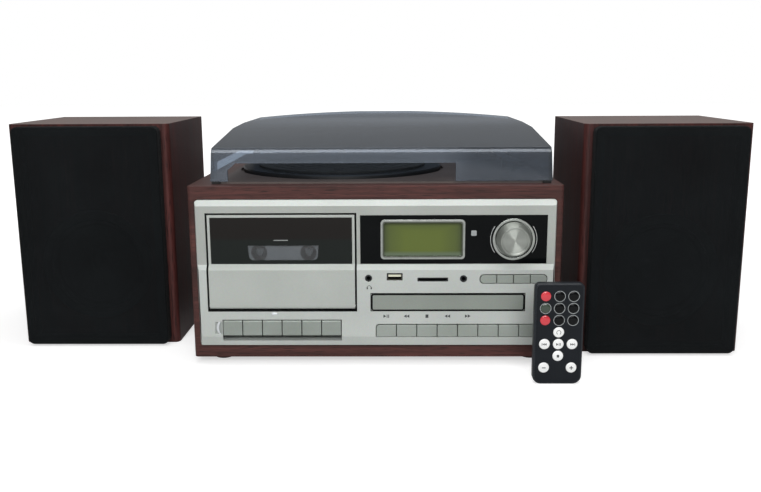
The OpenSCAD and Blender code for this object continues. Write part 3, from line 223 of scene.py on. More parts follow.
def veneer(name, long_way, pale, mid, dark, dusty):
    """Mahogany-print veneer: streaks 2 to 5 mm wide that run along long_way, fine dark pores, and a satin
    lacquer over them. A pale grey film, up to dusty, lightens what faces up: partly dust, partly a painted
    sheen of the light that falls on the tops."""
    finish, tree, shader, place = start_finish(name)
    layers = []
    for along, over, detail, bend in [
        (3.0, 34.0, 3.0, 0.0),
        (8.0, 260.0, 4.0, 0.6),
        (70.0, 1500.0, 2.0, 0.0),
    ]:
        stretch = [along if axis == long_way else over for axis in "XYZ"]
        layers.append(put(tree, "TexNoise", {
            "Vector": put(tree, "Mapping", {"Vector": place, "Scale": stretch}),
            "Scale": 1.0, "Detail": detail, "Distortion": bend}))
    wander, streaks, pores = layers
    mixed = put(tree, "Mix", {0: 0.45, 2: streaks, 3: wander})
    figure = put(tree, "ValToRGB", {0: mixed}, stops=[(0.34, dark), (0.50, mid), (0.66, pale)])
    pore_mask = put(tree, "MapRange", {"Value": pores, "From Min": 0.34, "From Max": 0.46})
    stained = put(tree, "Mix", {0: pore_mask, 6: dark, 7: figure}, data_type="RGBA")
    # What faces up turns paler: partly dust, partly a painted sheen.
    facing = put(tree, "SeparateXYZ", {0: put(tree, "NewGeometry").outputs["Normal"]})
    film = put(tree, "MapRange", {"Value": facing.outputs["Z"], "From Min": 0.8, "To Max": dusty})
    dust_and_painted_sheen = put(tree, "Mix", {0: film, 6: stained.outputs[2], 7: "#a1958f"}, data_type="RGBA")
    feed(tree, shader, {
        "Base Color": dust_and_painted_sheen.outputs[2],
        "Roughness": put(tree, "MapRange", {"Value": streaks, "To Min": 0.36, "To Max": 0.50}),
        "Normal": put(tree, "Bump", {"Height": pore_mask, "Strength": 0.25, "Distance": 0.0001}),
        "IOR": 1.5, "Specular IOR Level": 0.25})
    return finish


# What it gives the eye: dark red-brown stripes along the board, with a soft sheen. On the outside of
# the two side boards the grain runs front to back.
# The cabinet's tops take only a faint film of dust and painted sheen.
cabinet_browns, cabinet_dust_and_sheen, side_face = ("#5a3531", "#452926", "#2f1d1a"), 0.03, 159.5
cabinet = soften("cabinet", 0.5, veneer("mahogany_veneer_lacquered", "X", *cabinet_browns, cabinet_dust_and_sheen))
paint_where(cabinet, veneer("mahogany_veneer_on_the_sides", "Y", *cabinet_browns, cabinet_dust_and_sheen),
            lambda middle: abs(in_unit(middle)[0]) > side_face)


# Feet
# Four turned rubber feet, glued and screwed under the bottom board. Black, dull, a little dusty.
def rubber(name, colour, dusty):
    """Moulded rubber: dull, with a fine grain and a film of dust."""
    finish, tree, shader, place = start_finish(name)
    grain = put(tree, "TexNoise", {"Vector": place, "Scale": 1400.0, "Detail": 2.0})
    dust = put(tree, "TexNoise", {"Vector": place, "Scale": 60.0, "Detail": 4.0})
    film = put(tree, "MapRange", {"Value": dust, "From Min": 0.4, "From Max": 0.7, "To Max": 0.5})
    feed(tree, shader, {
        "Base Color": put(tree, "Mix", {0: film, 6: colour, 7: dusty}, data_type="RGBA").outputs[2],
        "Roughness": 0.78,
        "Normal": put(tree, "Bump", {"Height": grain, "Strength": 0.3, "Distance": 0.0001})})
    return finish


foot_rubber = rubber("black_rubber_moulded", "#141414", "#2b2a29")
soften("feet", 0.4, foot_rubber)


# Rear cover, its screws and the rear sockets
# Hardboard painted black-brown, with the woven print of its press on the face, cut out for the
# sockets and slotted for cooling. Six blackened pan-head screws hold it.
hardboard, tree, shader, place = start_finish("hardboard_pressed_and_painted")
warp, weft = [put(tree, "TexWave", {"Vector": place, "Scale": 260.0}, bands_direction=axis).outputs["Fac"]
              for axis in "XZ"]
press = put(tree, "Math", {0: warp, 1: weft}, operation="MULTIPLY")
cloudy = put(tree, "TexNoise", {"Vector": place, "Scale": 35.0, "Detail": 5.0})
feed(tree, shader, {
    "Base Color": put(tree, "ValToRGB", {0: cloudy}, stops=[(0.3, "#2c2724"), (0.7, "#433b35")]),
    "Normal": put(tree, "Bump", {"Height": press, "Strength": 0.5, "Distance": 0.0003}),
    "Roughness": 0.82})
soften("rear_cover", 0, hardboard)


def mottled(name, scale, detail, stops, rough, metal=0.0, ior=1.5, shine=0.5):
    """A plain finish whose colour wanders through stops over fine blotches. Where rough is a pair,
    the roughness wanders with it."""
    finish, tree, shader, place = start_finish(name)
    blotch = put(tree, "TexNoise", {"Vector": place, "Scale": scale, "Detail": detail})
    if isinstance(rough, tuple):
        rough = put(tree, "MapRange", {"Value": blotch, "To Min": rough[0], "To Max": rough[1]})
    feed(tree, shader, {"Base Color": put(tree, "ValToRGB", {0: blotch}, stops=stops), "Roughness": rough,
                        "Metallic": metal, "IOR": ior, "Specular IOR Level": shine})
    return finish


# Blackened steel: dark grey metal, paler and duller where it is scuffed.
black_steel = mottled("steel_blackened", 700.0, 4.0, [(0.35, "#26272a"), (0.75, "#55565a")], (0.35, 0.6),
                      metal=1.0)
soften("screws", 0, black_steel)


def moulded(name, colour, second, rough, grain_mm, depth, coat=0.0, shine=0.5, metal=0.0):
    """Injection-moulded plastic, or with metal a satin metal: a slight cloudiness in the colour and a
    fine grain in the face."""
    finish, tree, shader, place = start_finish(name)
    clouds = put(tree, "TexNoise", {"Vector": place, "Scale": 28.0, "Detail": 4.0, "Roughness": 0.6})
    grain = put(tree, "TexNoise", {"Vector": place, "Scale": 1000.0 / grain_mm, "Detail": 2.0})
    feed(tree, shader, {
        "Base Color": put(tree, "ValToRGB", {0: clouds}, stops=[(0.3, second), (0.7, colour)]),
        "Roughness": put(tree, "MapRange", {"Value": grain, "To Min": rough - 0.06, "To Max": rough + 0.06}),
        "Normal": put(tree, "Bump", {"Height": grain, "Strength": depth, "Distance": 0.0001}),
        "IOR": 1.5 if metal else 1.53, "Metallic": metal, "Specular IOR Level": shine,
        "Coat Weight": coat, "Coat Roughness": 0.1})
    return finish


def on_socket(x, z, half_w, half_h, y0):
    """Gives the test for a face of the socket at (x, z), in the main unit's millimetres, behind y0."""
    def test(middle):
        face_x, face_y, face_z = in_unit(middle)
        return abs(face_x - x) < half_w and abs(face_z - z) < half_h and face_y > y0
    return test


# Black ABS with a satin moulded face: the sockets' bodies. The levers of the speaker terminals are
# red and black in turn, and the phono sockets red and white.
black_abs = moulded("black_abs_moulded", "#1b1c1e", "#131416", 0.42, 0.9, 0.25)
rear_sockets = soften("rear_sockets", 0, black_abs)
red_abs = moulded("red_abs_moulded", "#b3262c", "#a31f26", 0.35, 0.9, 0.15)
ivory_abs = moulded("white_abs_moulded", "#dcdcd6", "#cfcfc9", 0.35, 0.9, 0.15)
terminal_x, sockets_z, lever_pitch, phono_x = -70.0, 58.0, 14.0, 9.0
lever_half_w, lever_half_h, lever_y, phono_half, phono_y = 4.05, 8.6, 144.1, 5.3, 146.0
for step in (-1.5, 0.5):
    paint_where(rear_sockets, red_abs,
                on_socket(terminal_x + step * lever_pitch, sockets_z, lever_half_w, lever_half_h, lever_y))
paint_where(rear_sockets, red_abs, on_socket(-phono_x, sockets_z, phono_half, phono_half, phono_y))
paint_where(rear_sockets, ivory_abs, on_socket(phono_x, sockets_z, phono_half, phono_half, phono_y))


# Front panel
# One ABS moulding, sprayed with silver lacquer: its top edge is bevelled, its middle has a ledge
# that catches the light, and its lower band swells out and rolls under.
panel_side, upper_y, lower_y = 154.0, -153.0, -156.0
ledge_foot, ledge_head, bevel_foot = 85.8, 90.0, 140.8


def at(x, y, z):
    """A place in the main unit, in its own millimetres, as a place in the set in metres."""
    return Vector(((x + unit_x) / 1000, (y + unit_y) / 1000, z / 1000))


def silver_lacquer(name, colour, second, metal=0.25, rough=0.46):
    """Silver lacquer on ABS: a grey metal flake, drawn at 0.5 mm so that it shows, under a satin
    clear coat."""
    finish, tree, shader, place = start_finish(name)
    flake = put(tree, "TexVoronoi", {"Vector": place, "Scale": 2000.0})
    cloudy = put(tree, "TexNoise", {"Vector": place, "Scale": 22.0, "Detail": 3.0})
    tone = put(tree, "ValToRGB", {0: cloudy}, stops=[(0.3, second), (0.7, colour)])
    spark = put(tree, "Mix", {0: 0.06, 6: tone, 7: flake.outputs["Color"]}, data_type="RGBA",
                blend_type="OVERLAY")
    far = flake.outputs["Distance"]
    rounded = put(tree, "Bevel", {"Radius": 0.0005}, samples=6)
    feed(tree, shader, {
        "Base Color": spark.outputs[2],
        "Roughness": put(tree, "MapRange", {"Value": far, "To Min": rough - 0.05, "To Max": rough + 0.07}),
        "Normal": put(tree, "Bump", {"Height": far, "Strength": 0.08, "Distance": 0.0002, "Normal": rounded}),
        "Metallic": metal, "Coat Weight": 0.1, "Coat Roughness": 0.3})
    return finish


def finish_piece(name, mesh, finish, body, smooth_below=35):
    """Turns a bmesh, in metres, into a piece of the set: joins its doubles, points its faces
    outwards, shades it, and makes it ride on its body."""
    bmesh.ops.remove_doubles(mesh, verts=mesh.verts, dist=0.000001)
    bmesh.ops.recalc_face_normals(mesh, faces=mesh.faces)
    for face in mesh.faces:
        face.smooth = True
    for edge in mesh.edges:
        edge.smooth = len(edge.link_faces) == 2 and edge.calc_face_angle() < math.radians(smooth_below)
    data = bpy.data.meshes.new(name)
    mesh.to_mesh(data)
    mesh.free()
    data.materials.append(finish)
    made = bpy.data.objects.new(name, data)
    scene.collection.objects.link(made)
    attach(made, body)
    return made


def bridge(mesh, one, other):
    """Joins two closed rings of as many points with a band of faces."""
    for i in range(len(one)):
        j = (i + 1) % len(one)
        mesh.faces.new((one[i], one[j], other[j], other[i]))


def add_slab(mesh, loops, y0, y1):
    """Adds a closed plate to mesh, in the main unit's millimetres. loops are an outline of (x, z)
    and any holes in it, and the plate reaches from y0 to y1."""
    front, back = [[[mesh.verts.new(at(x, y, z)) for x, z in loop] for loop in loops] for y in (y0, y1)]
    near, deep = sum(front, []), sum(back, [])
    for a, b, c in tessellate_polygon([[Vector((x, z, 0.0)) for x, z in loop] for loop in loops]):
        mesh.faces.new((near[a], near[b], near[c]))
        mesh.faces.new((deep[c], deep[b], deep[a]))
    for ring, behind in zip(front, back):
        bridge(mesh, ring, behind)


def slab_piece(name, plates, y0, y1, finish, body):
    """Makes one piece of flat plates, each given as its outline and holes, that reach from y0 to y1."""
    mesh = bmesh.new()
    for loops in plates:
        add_slab(mesh, loops, y0, y1)
    return finish_piece(name, mesh, finish, body)


def arc(x, z, r, start, end, steps=12):
    """Points on an arc round (x, z), from start to end in degrees."""
    turns = [math.radians(start + (end - start) * i / steps) for i in range(steps + 1)]
    return [(x + r * math.cos(t), z + r * math.sin(t)) for t in turns]


def circle(x, z, r, steps=32):
    """Points round a circle."""
    return arc(x, z, r, 0, 360, steps)[:-1]


def rounded_box(x0, x1, z0, z1, low_r, high_r, steps=5):
    """A rectangle with rounded corners: low_r at its foot, high_r at its top."""
    return (arc(x0 + low_r, z0 + low_r, low_r, 180, 270, steps)
            + arc(x1 - low_r, z0 + low_r, low_r, 270, 360, steps)
            + arc(x1 - high_r, z1 - high_r, high_r, 0, 90, steps)
            + arc(x0 + high_r, z1 - high_r, high_r, 90, 180, steps))


def transport_mark(kind, x, z, h):
    """The outlines of a plain transport symbol of height h with its middle at (x, z)."""
    w = 0.8 * h

    def wedge(tip, foot):
        return [[(foot, z - h / 2), (tip, z), (foot, z + h / 2)]]

    def bar(left, thick, high=h):
        return [[(left, z - high / 2), (left + thick, z - high / 2), (left + thick, z + high / 2),
                 (left, z + high / 2)]]

    shapes = {
        "back": wedge(x - w, x) + wedge(x, x + w),
        "ahead": wedge(x, x - w) + wedge(x + w, x),
        "skip_back": bar(x - w - 0.3 * h, 0.2 * h) + wedge(x - w, x) + wedge(x, x + w),
        "skip_ahead": wedge(x, x - w) + wedge(x + w, x) + bar(x + w + 0.1 * h, 0.2 * h),
        "play_pause": wedge(x, x - w) + bar(x + 0.15 * h, 0.22 * h) + bar(x + 0.6 * h, 0.22 * h),
        "plus": bar(x - 0.12 * h, 0.24 * h) + bar(x - h / 2, h, 0.24 * h),
        "minus": bar(x - h / 2, h, 0.24 * h),
        "stop": bar(x - 0.42 * h, 0.84 * h),
    }
    return shapes[kind]


fascia_silver = silver_lacquer("silver_lacquer_on_abs", "#babfbb", "#b2b7b3")
front_panel = soften("front_panel", 0, fascia_silver, smooth_below=12)

# Pad-printed marks: a dark matt ink, a few hundredths thick, over the tray's buttons.
dark_ink = mottled("dark_ink_pad_printed", 2500.0, 2.0, [(0.35, "#2b2d2e"), (0.7, "#434647")], 0.6)
mark_x, mark_z, mark_h, button_pitch = 9.1, 44.8, 3.0, 17.6
ink_out, ink_in = 0.05, 0.2
printed = [[outline] for i, kind in enumerate(["play_pause", "back", "stop", "back", "ahead"])
           for outline in transport_mark(kind, mark_x + i * button_pitch, mark_z, mark_h)]
# Headphones: a band over two ear pads.
pads_x, pads_z, band_outer_r, band_inner_r = -5.4, 70.3, 1.9, 1.45
pad_out, pad_half_w, pad_foot, pad_top, pad_r = 1.7, 0.55, -1.5, 0.3, 0.3
printed.append([arc(pads_x, pads_z, band_outer_r, 0, 180) + arc(pads_x, pads_z, band_inner_r, 180, 0)])
printed += [[rounded_box(x - pad_half_w, x + pad_half_w, pads_z + pad_foot, pads_z + pad_top, pad_r, pad_r)]
            for x in (pads_x - pad_out, pads_x + pad_out)]
slab_piece("panel_marks", printed, lower_y - ink_out, lower_y + ink_in, dark_ink, "main_unit")

# A black strip of painted shade lines the edges of the door's and the tray's openings, so that their gaps
# show dark.
gap_shade_black = mottled("black_strip_painted_gap_shade", 3000.0, 3.0, [(0.3, "#060707"), (0.7, "#0e0f0f")], 0.95, shine=0.1)
gap_shade_out, gap_shade_in = 0.04, 0.4
openings_foot, openings_top = 26.9, 140.0
scoop_side, scoop_top = -132.5, 45.0


def panel_face(z):
    """How far forward the panel's face is at a height, in the main unit's millimetres."""
    up = min(max((z - ledge_foot) / (ledge_head - ledge_foot), 0.0), 1.0)
    return lower_y + (upper_y - lower_y) * up


def opening_wall_in_painted_shade(middle):
    """Whether a face of the panel is the inner wall of an opening. These walls are black ABS, which also
    paints shade into the gaps.
    """
    x, y, z = in_unit(middle)
    in_scoop = x < scoop_side and z < scoop_top
    in_panel = abs(x) < panel_side - 1 and openings_foot < z < openings_top
    return in_panel and not in_scoop and y > panel_face(z) + 0.5


def on_upper_face(middle):
    """Whether a face is on the outside of the panel between its ledge and its top bevel."""
    x, y, z = in_unit(middle)
    return ledge_head < z < bevel_foot and y < panel_face(z) + 0.2


# The openings' inner walls are black: bare ABS, and also a painted shade that darkens the gaps.
paint_where(front_panel, black_abs, opening_wall_in_painted_shade)
# The lacquer on the upper face is a shade greyer than on the bevel over it and the ledge under it: a painted
# shade, as this face takes less light.
upper_silver_painted_shade = silver_lacquer("silver_lacquer_upper_face_painted_shade", "#a7aba6", "#9fa39e")
paint_where(front_panel, upper_silver_painted_shade, on_upper_face)
gap_shade_mesh = bmesh.new()
for x0, x1, z0, z1, gap_shade_w in [(-144.2, -16.8, 49.9, 133.9, 0.85), (-3.7, 128.0, 49.9, 64.7, 0.7)]:
    heights = [z0 - gap_shade_w] + [z for z in (ledge_foot, ledge_head) if z0 < z < z1] + [z1 + gap_shade_w]
    for side_x in (x0 - gap_shade_w, x1):
        rows = [[gap_shade_mesh.verts.new(at(side_x + dx, panel_face(z) + dy, z)) for dx, dy in [
            (0.0, -gap_shade_out), (gap_shade_w, -gap_shade_out), (gap_shade_w, gap_shade_in), (0.0, gap_shade_in)]] for z in heights]
        gap_shade_mesh.faces.new(rows[0])
        gap_shade_mesh.faces.new(reversed(rows[-1]))
        for one, other in zip(rows, rows[1:]):
            bridge(gap_shade_mesh, one, other)
    for foot in (z0 - gap_shade_w, z1):
        add_slab(gap_shade_mesh, [[(x0, foot), (x1, foot), (x1, foot + gap_shade_w), (x0, foot + gap_shade_w)]],
                 panel_face(foot) - gap_shade_out, panel_face(foot) + gap_shade_in)
finish_piece("opening_painted_gap_shade", gap_shade_mesh, gap_shade_black, "main_unit")

# The finger scoop at the keys' left end and the door's thumb mark: moulded facets in a paler lacquer, a
# painted highlight.
painted_highlight_silver = silver_lacquer("silver_lacquer_painted_highlight", "#dfe3e6", "#d2d6d9", 0.3, 0.30)
scoop = bmesh.new()
scoop_x, scoop_z, scoop_steps = -133.3, 34.4, 10
bulge_in, bulge_r, inner_in, inner_r = 3.2, 8.4, 6.2, 9.0
bulge = arc(scoop_x + bulge_in, scoop_z, bulge_r, 139, 221, scoop_steps)
inner = arc(scoop_x + inner_in, scoop_z, inner_r, 143, 217, scoop_steps)
rows = [[scoop.verts.new(at(x + dx, lower_y + dy, z)) for x, z in curve]
        for curve, dx, dy in [(bulge, 0.0, -0.1), (inner, 0.0, -0.9), (bulge, 1.6, 0.4)]]
for one, other in zip(rows, rows[1:] + rows[:1]):
    for i in range(scoop_steps):
        scoop.faces.new((one[i], one[i + 1], other[i + 1], other[i]))
for end in (0, scoop_steps):
    scoop.faces.new([row[end] for row in rows])
finish_piece("key_scoop", scoop, painted_highlight_silver, "main_unit")

thumb = bmesh.new()
thumb_x, thumb_z, thumb_half_w, thumb_out, thumb_half_h = -87.6, 47.0, 2.6, 0.55, 1.15
bmesh.ops.create_uvsphere(thumb, u_segments=28, v_segments=12, radius=1.0)
for vert in thumb.verts:
    vert.co = at(thumb_x + thumb_half_w * vert.co.x, lower_y + thumb_out * vert.co.y,
                 thumb_z + thumb_half_h * vert.co.z)
finish_piece("door_thumb_mark", thumb, painted_highlight_silver, "main_unit")


# Display: window, trim and liquid crystal
# A sheet of acrylic, painted black behind, with a plated frame round the display and a plated
# ring round the knob. The liquid crystal lies behind the frame, under its own glass.
acrylic_ior = 1.49
# Polished acrylic is nearly black and holds sharp reflections. The satin plating gives soft ones.
black_acrylic = mottled("black_acrylic_polished", 30.0, 5.0, [(0.3, "#07090a"), (0.7, "#0b0d0e")],
                        (0.04, 0.12), ior=acrylic_ior, shine=0.08)
soften("display_window", 0, black_acrylic)
plated = mottled("abs_plated_satin_chrome", 260.0, 4.0, [(0.3, "#9fa39f"), (0.7, "#b3b7b2")], (0.14, 0.26),
                 metal=1.0)
soften("display_trim", 0.3, plated)

# Liquid crystal behind glass: yellow-green with a faint dot grid, darker towards its sides and top with
# painted shade from the frame. Its tones are placed from the display's middle out, with each edge at about 1.
lcd_x, lcd_y, lcd_z = 40.5, -150.0, 111.7
lcd_half_w, lcd_w_by_h = 0.033, 2.3
liquid_crystal, tree, shader, place = start_finish("liquid_crystal_under_glass")
from_middle = put(tree, "Mapping", {"Vector": place, "Scale": [1 / lcd_half_w] * 3,
                                    "Location": [-c / lcd_half_w for c in at(lcd_x, lcd_y, lcd_z)]})
stretched = put(tree, "VectorMath", {0: from_middle, 1: (1.0, 0.0, lcd_w_by_h)}, operation="MULTIPLY")
sides = put(tree, "SeparateXYZ", {0: stretched}).outputs
across = put(tree, "Math", {0: sides["X"]}, operation="ABSOLUTE")
border = put(tree, "Math", {0: across, 1: sides["Z"]}, operation="MAXIMUM")
tone_with_painted_shade = put(tree, "ValToRGB", {0: border},
                  stops=[(0.45, "#5b672f"), (0.85, "#525d31"), (1.0, "#454f30")])
# Along the display's foot the tone turns a lighter bluish grey.
foot_cast = put(tree, "MapRange", {"Value": sides["Z"], "From Min": -0.74, "From Max": -0.92})
tone = put(tree, "Mix", {0: foot_cast, 6: tone_with_painted_shade, 7: "#5f6c56"}, data_type="RGBA")
dots = put(tree, "TexVoronoi", {"Vector": place, "Scale": 1400.0}, distance="CHEBYCHEV")
grid = put(tree, "MapRange", {"Value": dots.outputs["Distance"], "From Max": 0.6, "To Min": 0.97})
dotted = put(tree, "Mix", {0: 1.0, 6: tone.outputs[2], 7: grid}, data_type="RGBA", blend_type="MULTIPLY")
feed(tree, shader, {"Base Color": dotted.outputs[2], "Roughness": 0.22, "Specular IOR Level": 0.2,
                    "Coat Weight": 0.1, "Coat Roughness": 0.05})
soften("lcd_panel", 0, liquid_crystal)


def box_round(x, z, half_w, half_h, r):
    """A rectangle with rounded corners and its middle at (x, z)."""
    return rounded_box(x - half_w, x + half_w, z - half_h, z + half_h, r, r)


# A dark ring over the inner half of the plated frame, against the glass, is painted shade from the frame's
# depth.
shade_ring_rubber = rubber("rubber_ring_painted_shade", "#474b41", "#555a4e")
frame_face, shade_ring_out, shade_ring_in = -153.7, 0.06, 0.3
shade_ring_half_w, shade_ring_half_h, shade_ring_w, shade_ring_outer_r, shade_ring_inner_r = 34.3, 15.45, 1.0, 2.2, 1.5
slab_piece("lcd_frame_painted_shade", [[
    box_round(lcd_x, lcd_z, shade_ring_half_w, shade_ring_half_h, shade_ring_outer_r),
    box_round(lcd_x, lcd_z, shade_ring_half_w - shade_ring_w, shade_ring_half_h - shade_ring_w, shade_ring_inner_r)
]], frame_face - shade_ring_out, frame_face + shade_ring_in, shade_ring_rubber, "main_unit")

# On the window: the pale lens of the remote's sensor, and two printed arcs beside the knob.
pale_ink = mottled("pale_ink_screen_printed", 2500.0, 2.0, [(0.35, "#a9adac"), (0.7, "#c6c9c8")], 0.5)
window_face, knob_x, knob_z = -152.7, 117.8, 111.7
arc_outer_r, arc_inner_r = 19.9, 19.5
slab_piece("display_marks", [
    [arc(knob_x, knob_z, arc_outer_r, start, end) + arc(knob_x, knob_z, arc_inner_r, end, start)]
    for start, end in [(145, 216), (-36, 35)]
], window_face - ink_out, window_face + ink_in, pale_ink, "main_unit")
sensor_grey = moulded("sensor_lens_smoked_moulded", "#9b9fa0", "#8b8f90", 0.25, 0.6, 0.5, 0.3)
sensor_x, sensor_z, sensor_half, sensor_r, sensor_out, sensor_in = 83.9, 117.1, 2.3, 0.8, 0.25, 0.3
slab_piece("sensor_lens", [[box_round(sensor_x, sensor_z, sensor_half, sensor_half, sensor_r)]],
           window_face - sensor_out, window_face + sensor_in, sensor_grey, "main_unit")


# Volume knob
# Turned aluminium: the face is cut with a fine spiral that throws two bright fans of light, the
# rim is polished, and the side has fine flutes for the fingers.
spun, tree, shader, place = start_finish("aluminium_turned_on_a_lathe")
spoke = put(tree, "VectorMath", {0: place, 1: at(knob_x, 0, knob_z)}, operation="SUBTRACT")
spoke_flat = put(tree, "VectorMath", {0: spoke, 1: (1.0, 0.0, 1.0)}, operation="MULTIPLY")
# The light fans out across the grooves. The small step along Y keeps this true on the knob's side.
outward = put(tree, "VectorMath", {0: spoke_flat, 1: (0.0, 0.0002, 0.0)}, operation="ADD")
radius = put(tree, "VectorMath", {0: spoke_flat}, operation="LENGTH").outputs["Value"]
# The tool's spiral is 0.1 mm in the metal and is drawn at 0.6 mm, or 10500 radians in a metre. The face's
# tones darken from its middle to its rim, a sixtieth of a metre out: a painted shade on the rim and the side.
spiral_rate, tone_rate = 10500.0, 60.0
spiral = put(tree, "Math", {0: radius, 1: spiral_rate}, operation="MULTIPLY")
turning = put(tree, "Math", {0: spiral}, operation="SINE")
painted_rim_shade = put(tree, "Math", {0: radius, 1: tone_rate}, operation="MULTIPLY")
feed(tree, shader, {
    "Base Color": put(tree, "ValToRGB", {0: painted_rim_shade},
                      stops=[(0.0, "#a9ada7"), (0.7, "#9fa39d"), (0.95, "#868a84")]),
    "Roughness": put(tree, "MapRange", {"Value": turning, "From Min": -1.0, "To Min": 0.36, "To Max": 0.44}),
    "Normal": put(tree, "Bump", {"Height": turning, "Strength": 0.12, "Distance": 0.0001}),
    "Tangent": put(tree, "VectorMath", {0: outward}, operation="NORMALIZE"),
    "Metallic": 0.7, "Anisotropic": 0.95})
soften("volume_knob", 0.25, spun)


# Front sockets
# Jacks, a USB socket and a card slot, soldered to the board behind and set level with the panel.
soften("front_sockets", 0, black_abs)

# The USB socket's sleeve is folded steel, dull and yellowish, and its tongue is pale nylon. The lips
# of the two jacks are dark steel.
sleeve_steel = mottled("steel_folded_tin_plated", 900.0, 3.0, [(0.3, "#4f4d45"), (0.7, "#6b685d")], 0.4,
                       metal=1.0)
pale_tongue = moulded("pale_nylon_moulded", "#d8dac4", "#cbcdb6", 0.5, 0.8, 0.1)
usb_x, usb_z, usb_half_w, usb_half_h, usb_wall, usb_outer_r, usb_inner_r = 16.5, 79.8, 6.1, 2.5, 0.4, 0.5, 0.3
tongue_half_w, tongue_foot, tongue_top, tongue_r = 5.4, -0.1, 1.8, 0.2
socket_face, sleeve_out, sleeve_end, tongue_front, tongue_end = -155.8, 0.25, 9.0, 0.4, 8.0
slab_piece("usb_sleeve", [[
    box_round(usb_x, usb_z, usb_half_w, usb_half_h, usb_outer_r),
    box_round(usb_x, usb_z, usb_half_w - usb_wall, usb_half_h - usb_wall, usb_inner_r)
]], socket_face - sleeve_out, socket_face + sleeve_end, sleeve_steel, "main_unit")
slab_piece("usb_tongue", [[
    rounded_box(usb_x - tongue_half_w, usb_x + tongue_half_w, usb_z + tongue_foot, usb_z + tongue_top,
                tongue_r, tongue_r)
]], socket_face + tongue_front, socket_face + tongue_end, pale_tongue, "main_unit")
jack_places, lip_outer_r, lip_inner_r, lip_out, lip_in = [(-5.9, 78.5), (75.4, 78.0)], 2.6, 1.9, 0.2, 0.3
slab_piece("jack_lips", [[circle(x, z, lip_outer_r), circle(x, z, lip_inner_r)] for x, z in jack_places],
           socket_face - lip_out, socket_face + lip_in, black_steel, "main_unit")


# Cassette door, window, holder, chassis and reels
# The door is a silver-lacquered moulding on two pins. Its window is acrylic painted black behind,
# but for a clear part that shows the holder's plate and the tips of the two reel spindles.
door_silver = silver_lacquer("silver_lacquer_on_the_door", "#b0b5b0", "#a8ada8")
soften("cassette_door", 0, door_silver, smooth_below=12)

# The clear part is wider at its top and has rounded lower corners. The black paint is a shade greener below a
# height of 111 mm and a shade redder above 113 mm: painted reflections of the room on the window.
window_x0, window_x1, window_z0, window_z1 = -141.05, -19.95, 90.55, 130.75
window_front, window_back, window_r, clear_gap = -152.8, -150.8, 0.6, 0.05
clear_x0, clear_x1, clear_foot, clear_top, clear_r, clear_lean = -109.4, -48.6, 93.6, 106.6, 4.2, 0.7
green_top, red_foot = 0.111, 0.113
clear_shape = (arc(clear_x0 + clear_lean + clear_r, clear_foot + clear_r, clear_r, 180, 270, steps=8)
               + arc(clear_x1 - clear_lean - clear_r, clear_foot + clear_r, clear_r, 270, 360, steps=8)
               + [(clear_x1, clear_top), (clear_x0, clear_top)])
window_acrylic, tree, shader, place = start_finish("smoked_acrylic_painted_behind")
streaky = put(tree, "TexNoise", {"Vector": place, "Scale": 24.0, "Detail": 4.0})
height = put(tree, "SeparateXYZ", {0: place}).outputs["Z"]
upper = put(tree, "MapRange", {"Value": height, "From Min": green_top, "From Max": red_foot})
feed(tree, shader, {
    "Base Color": put(tree, "Mix", {0: upper, 6: "#141917", 7: "#161311"}, data_type="RGBA").outputs[2],
    "Roughness": put(tree, "MapRange", {"Value": streaky, "To Min": 0.08, "To Max": 0.2}),
    "IOR": acrylic_ior, "Specular IOR Level": 0.2})
window_outline = rounded_box(window_x0, window_x1, window_z0, window_z1, window_r, window_r)
window_paint = slab_piece("cassette_window_painted", [[window_outline, clear_shape]],
                          window_front, window_back, window_acrylic, "deck_door")
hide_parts("cassette_window")

# The clear part is seen through, under a thin film of dust and a sharp reflection.
smoked_clear, tree, shader, place = start_finish("smoked_acrylic_window_polished")
cloud = put(tree, "TexNoise", {"Vector": place, "Scale": 70.0, "Detail": 3.0})
dust = put(tree, "ValToRGB", {0: cloud}, stops=[(0.3, "#6b6f70"), (0.7, "#797d7e")])
dust_share = 0.09
dusty = put(tree, "MixShader", {0: dust_share, 1: put(tree, "BsdfTransparent", {"Color": "#f0f2f4"}),
                                2: put(tree, "BsdfDiffuse", {"Color": dust})})
polished = put(tree, "MixShader", {0: put(tree, "Fresnel", {"IOR": acrylic_ior}), 1: dusty,
                                   2: put(tree, "BsdfGlossy", {"Roughness": 0.08})})
put(tree, "OutputMaterial", {"Surface": polished}, is_active_output=True)
slab_piece("cassette_window_clear", [[clear_shape]], window_front + clear_gap, window_back - clear_gap,
           smoked_clear, "deck_door")

# Behind the clear part lies the holder's plate of painted steel, a flat mid grey, with a round hole
# before each spindle.
plate_grey = moulded("holder_plate_steel_painted", "#7c8082", "#6f7375", 0.5, 0.8, 0.1)
plate_x0, plate_x1, plate_z0, plate_z1, plate_r = -110.0, -48.0, 92.6, 109.0, 1.0
spindles_x, spindle_z, hole_r = (-99.95, -57.45), 100.0, 7.0
plate_gap, plate_back = 0.2, 0.6
slab_piece("cassette_holder_plate", [
    [rounded_box(plate_x0, plate_x1, plate_z0, plate_z1, plate_r, plate_r)]
    + [circle(x, spindle_z, hole_r, steps=48) for x in spindles_x]
], window_back + plate_gap, window_back + plate_back, plate_grey, "deck_door")
# A short printed line stands over the middle of the clear part.
line_x0, line_x1, line_z0, line_z1, line_r = -87.0, -74.6, 111.0, 111.45, 0.2
slab_piece("cassette_window_mark", [[rounded_box(line_x0, line_x1, line_z0, line_z1, line_r, line_r)]],
           window_front - ink_out, window_front + ink_in, pale_ink, "deck_door")

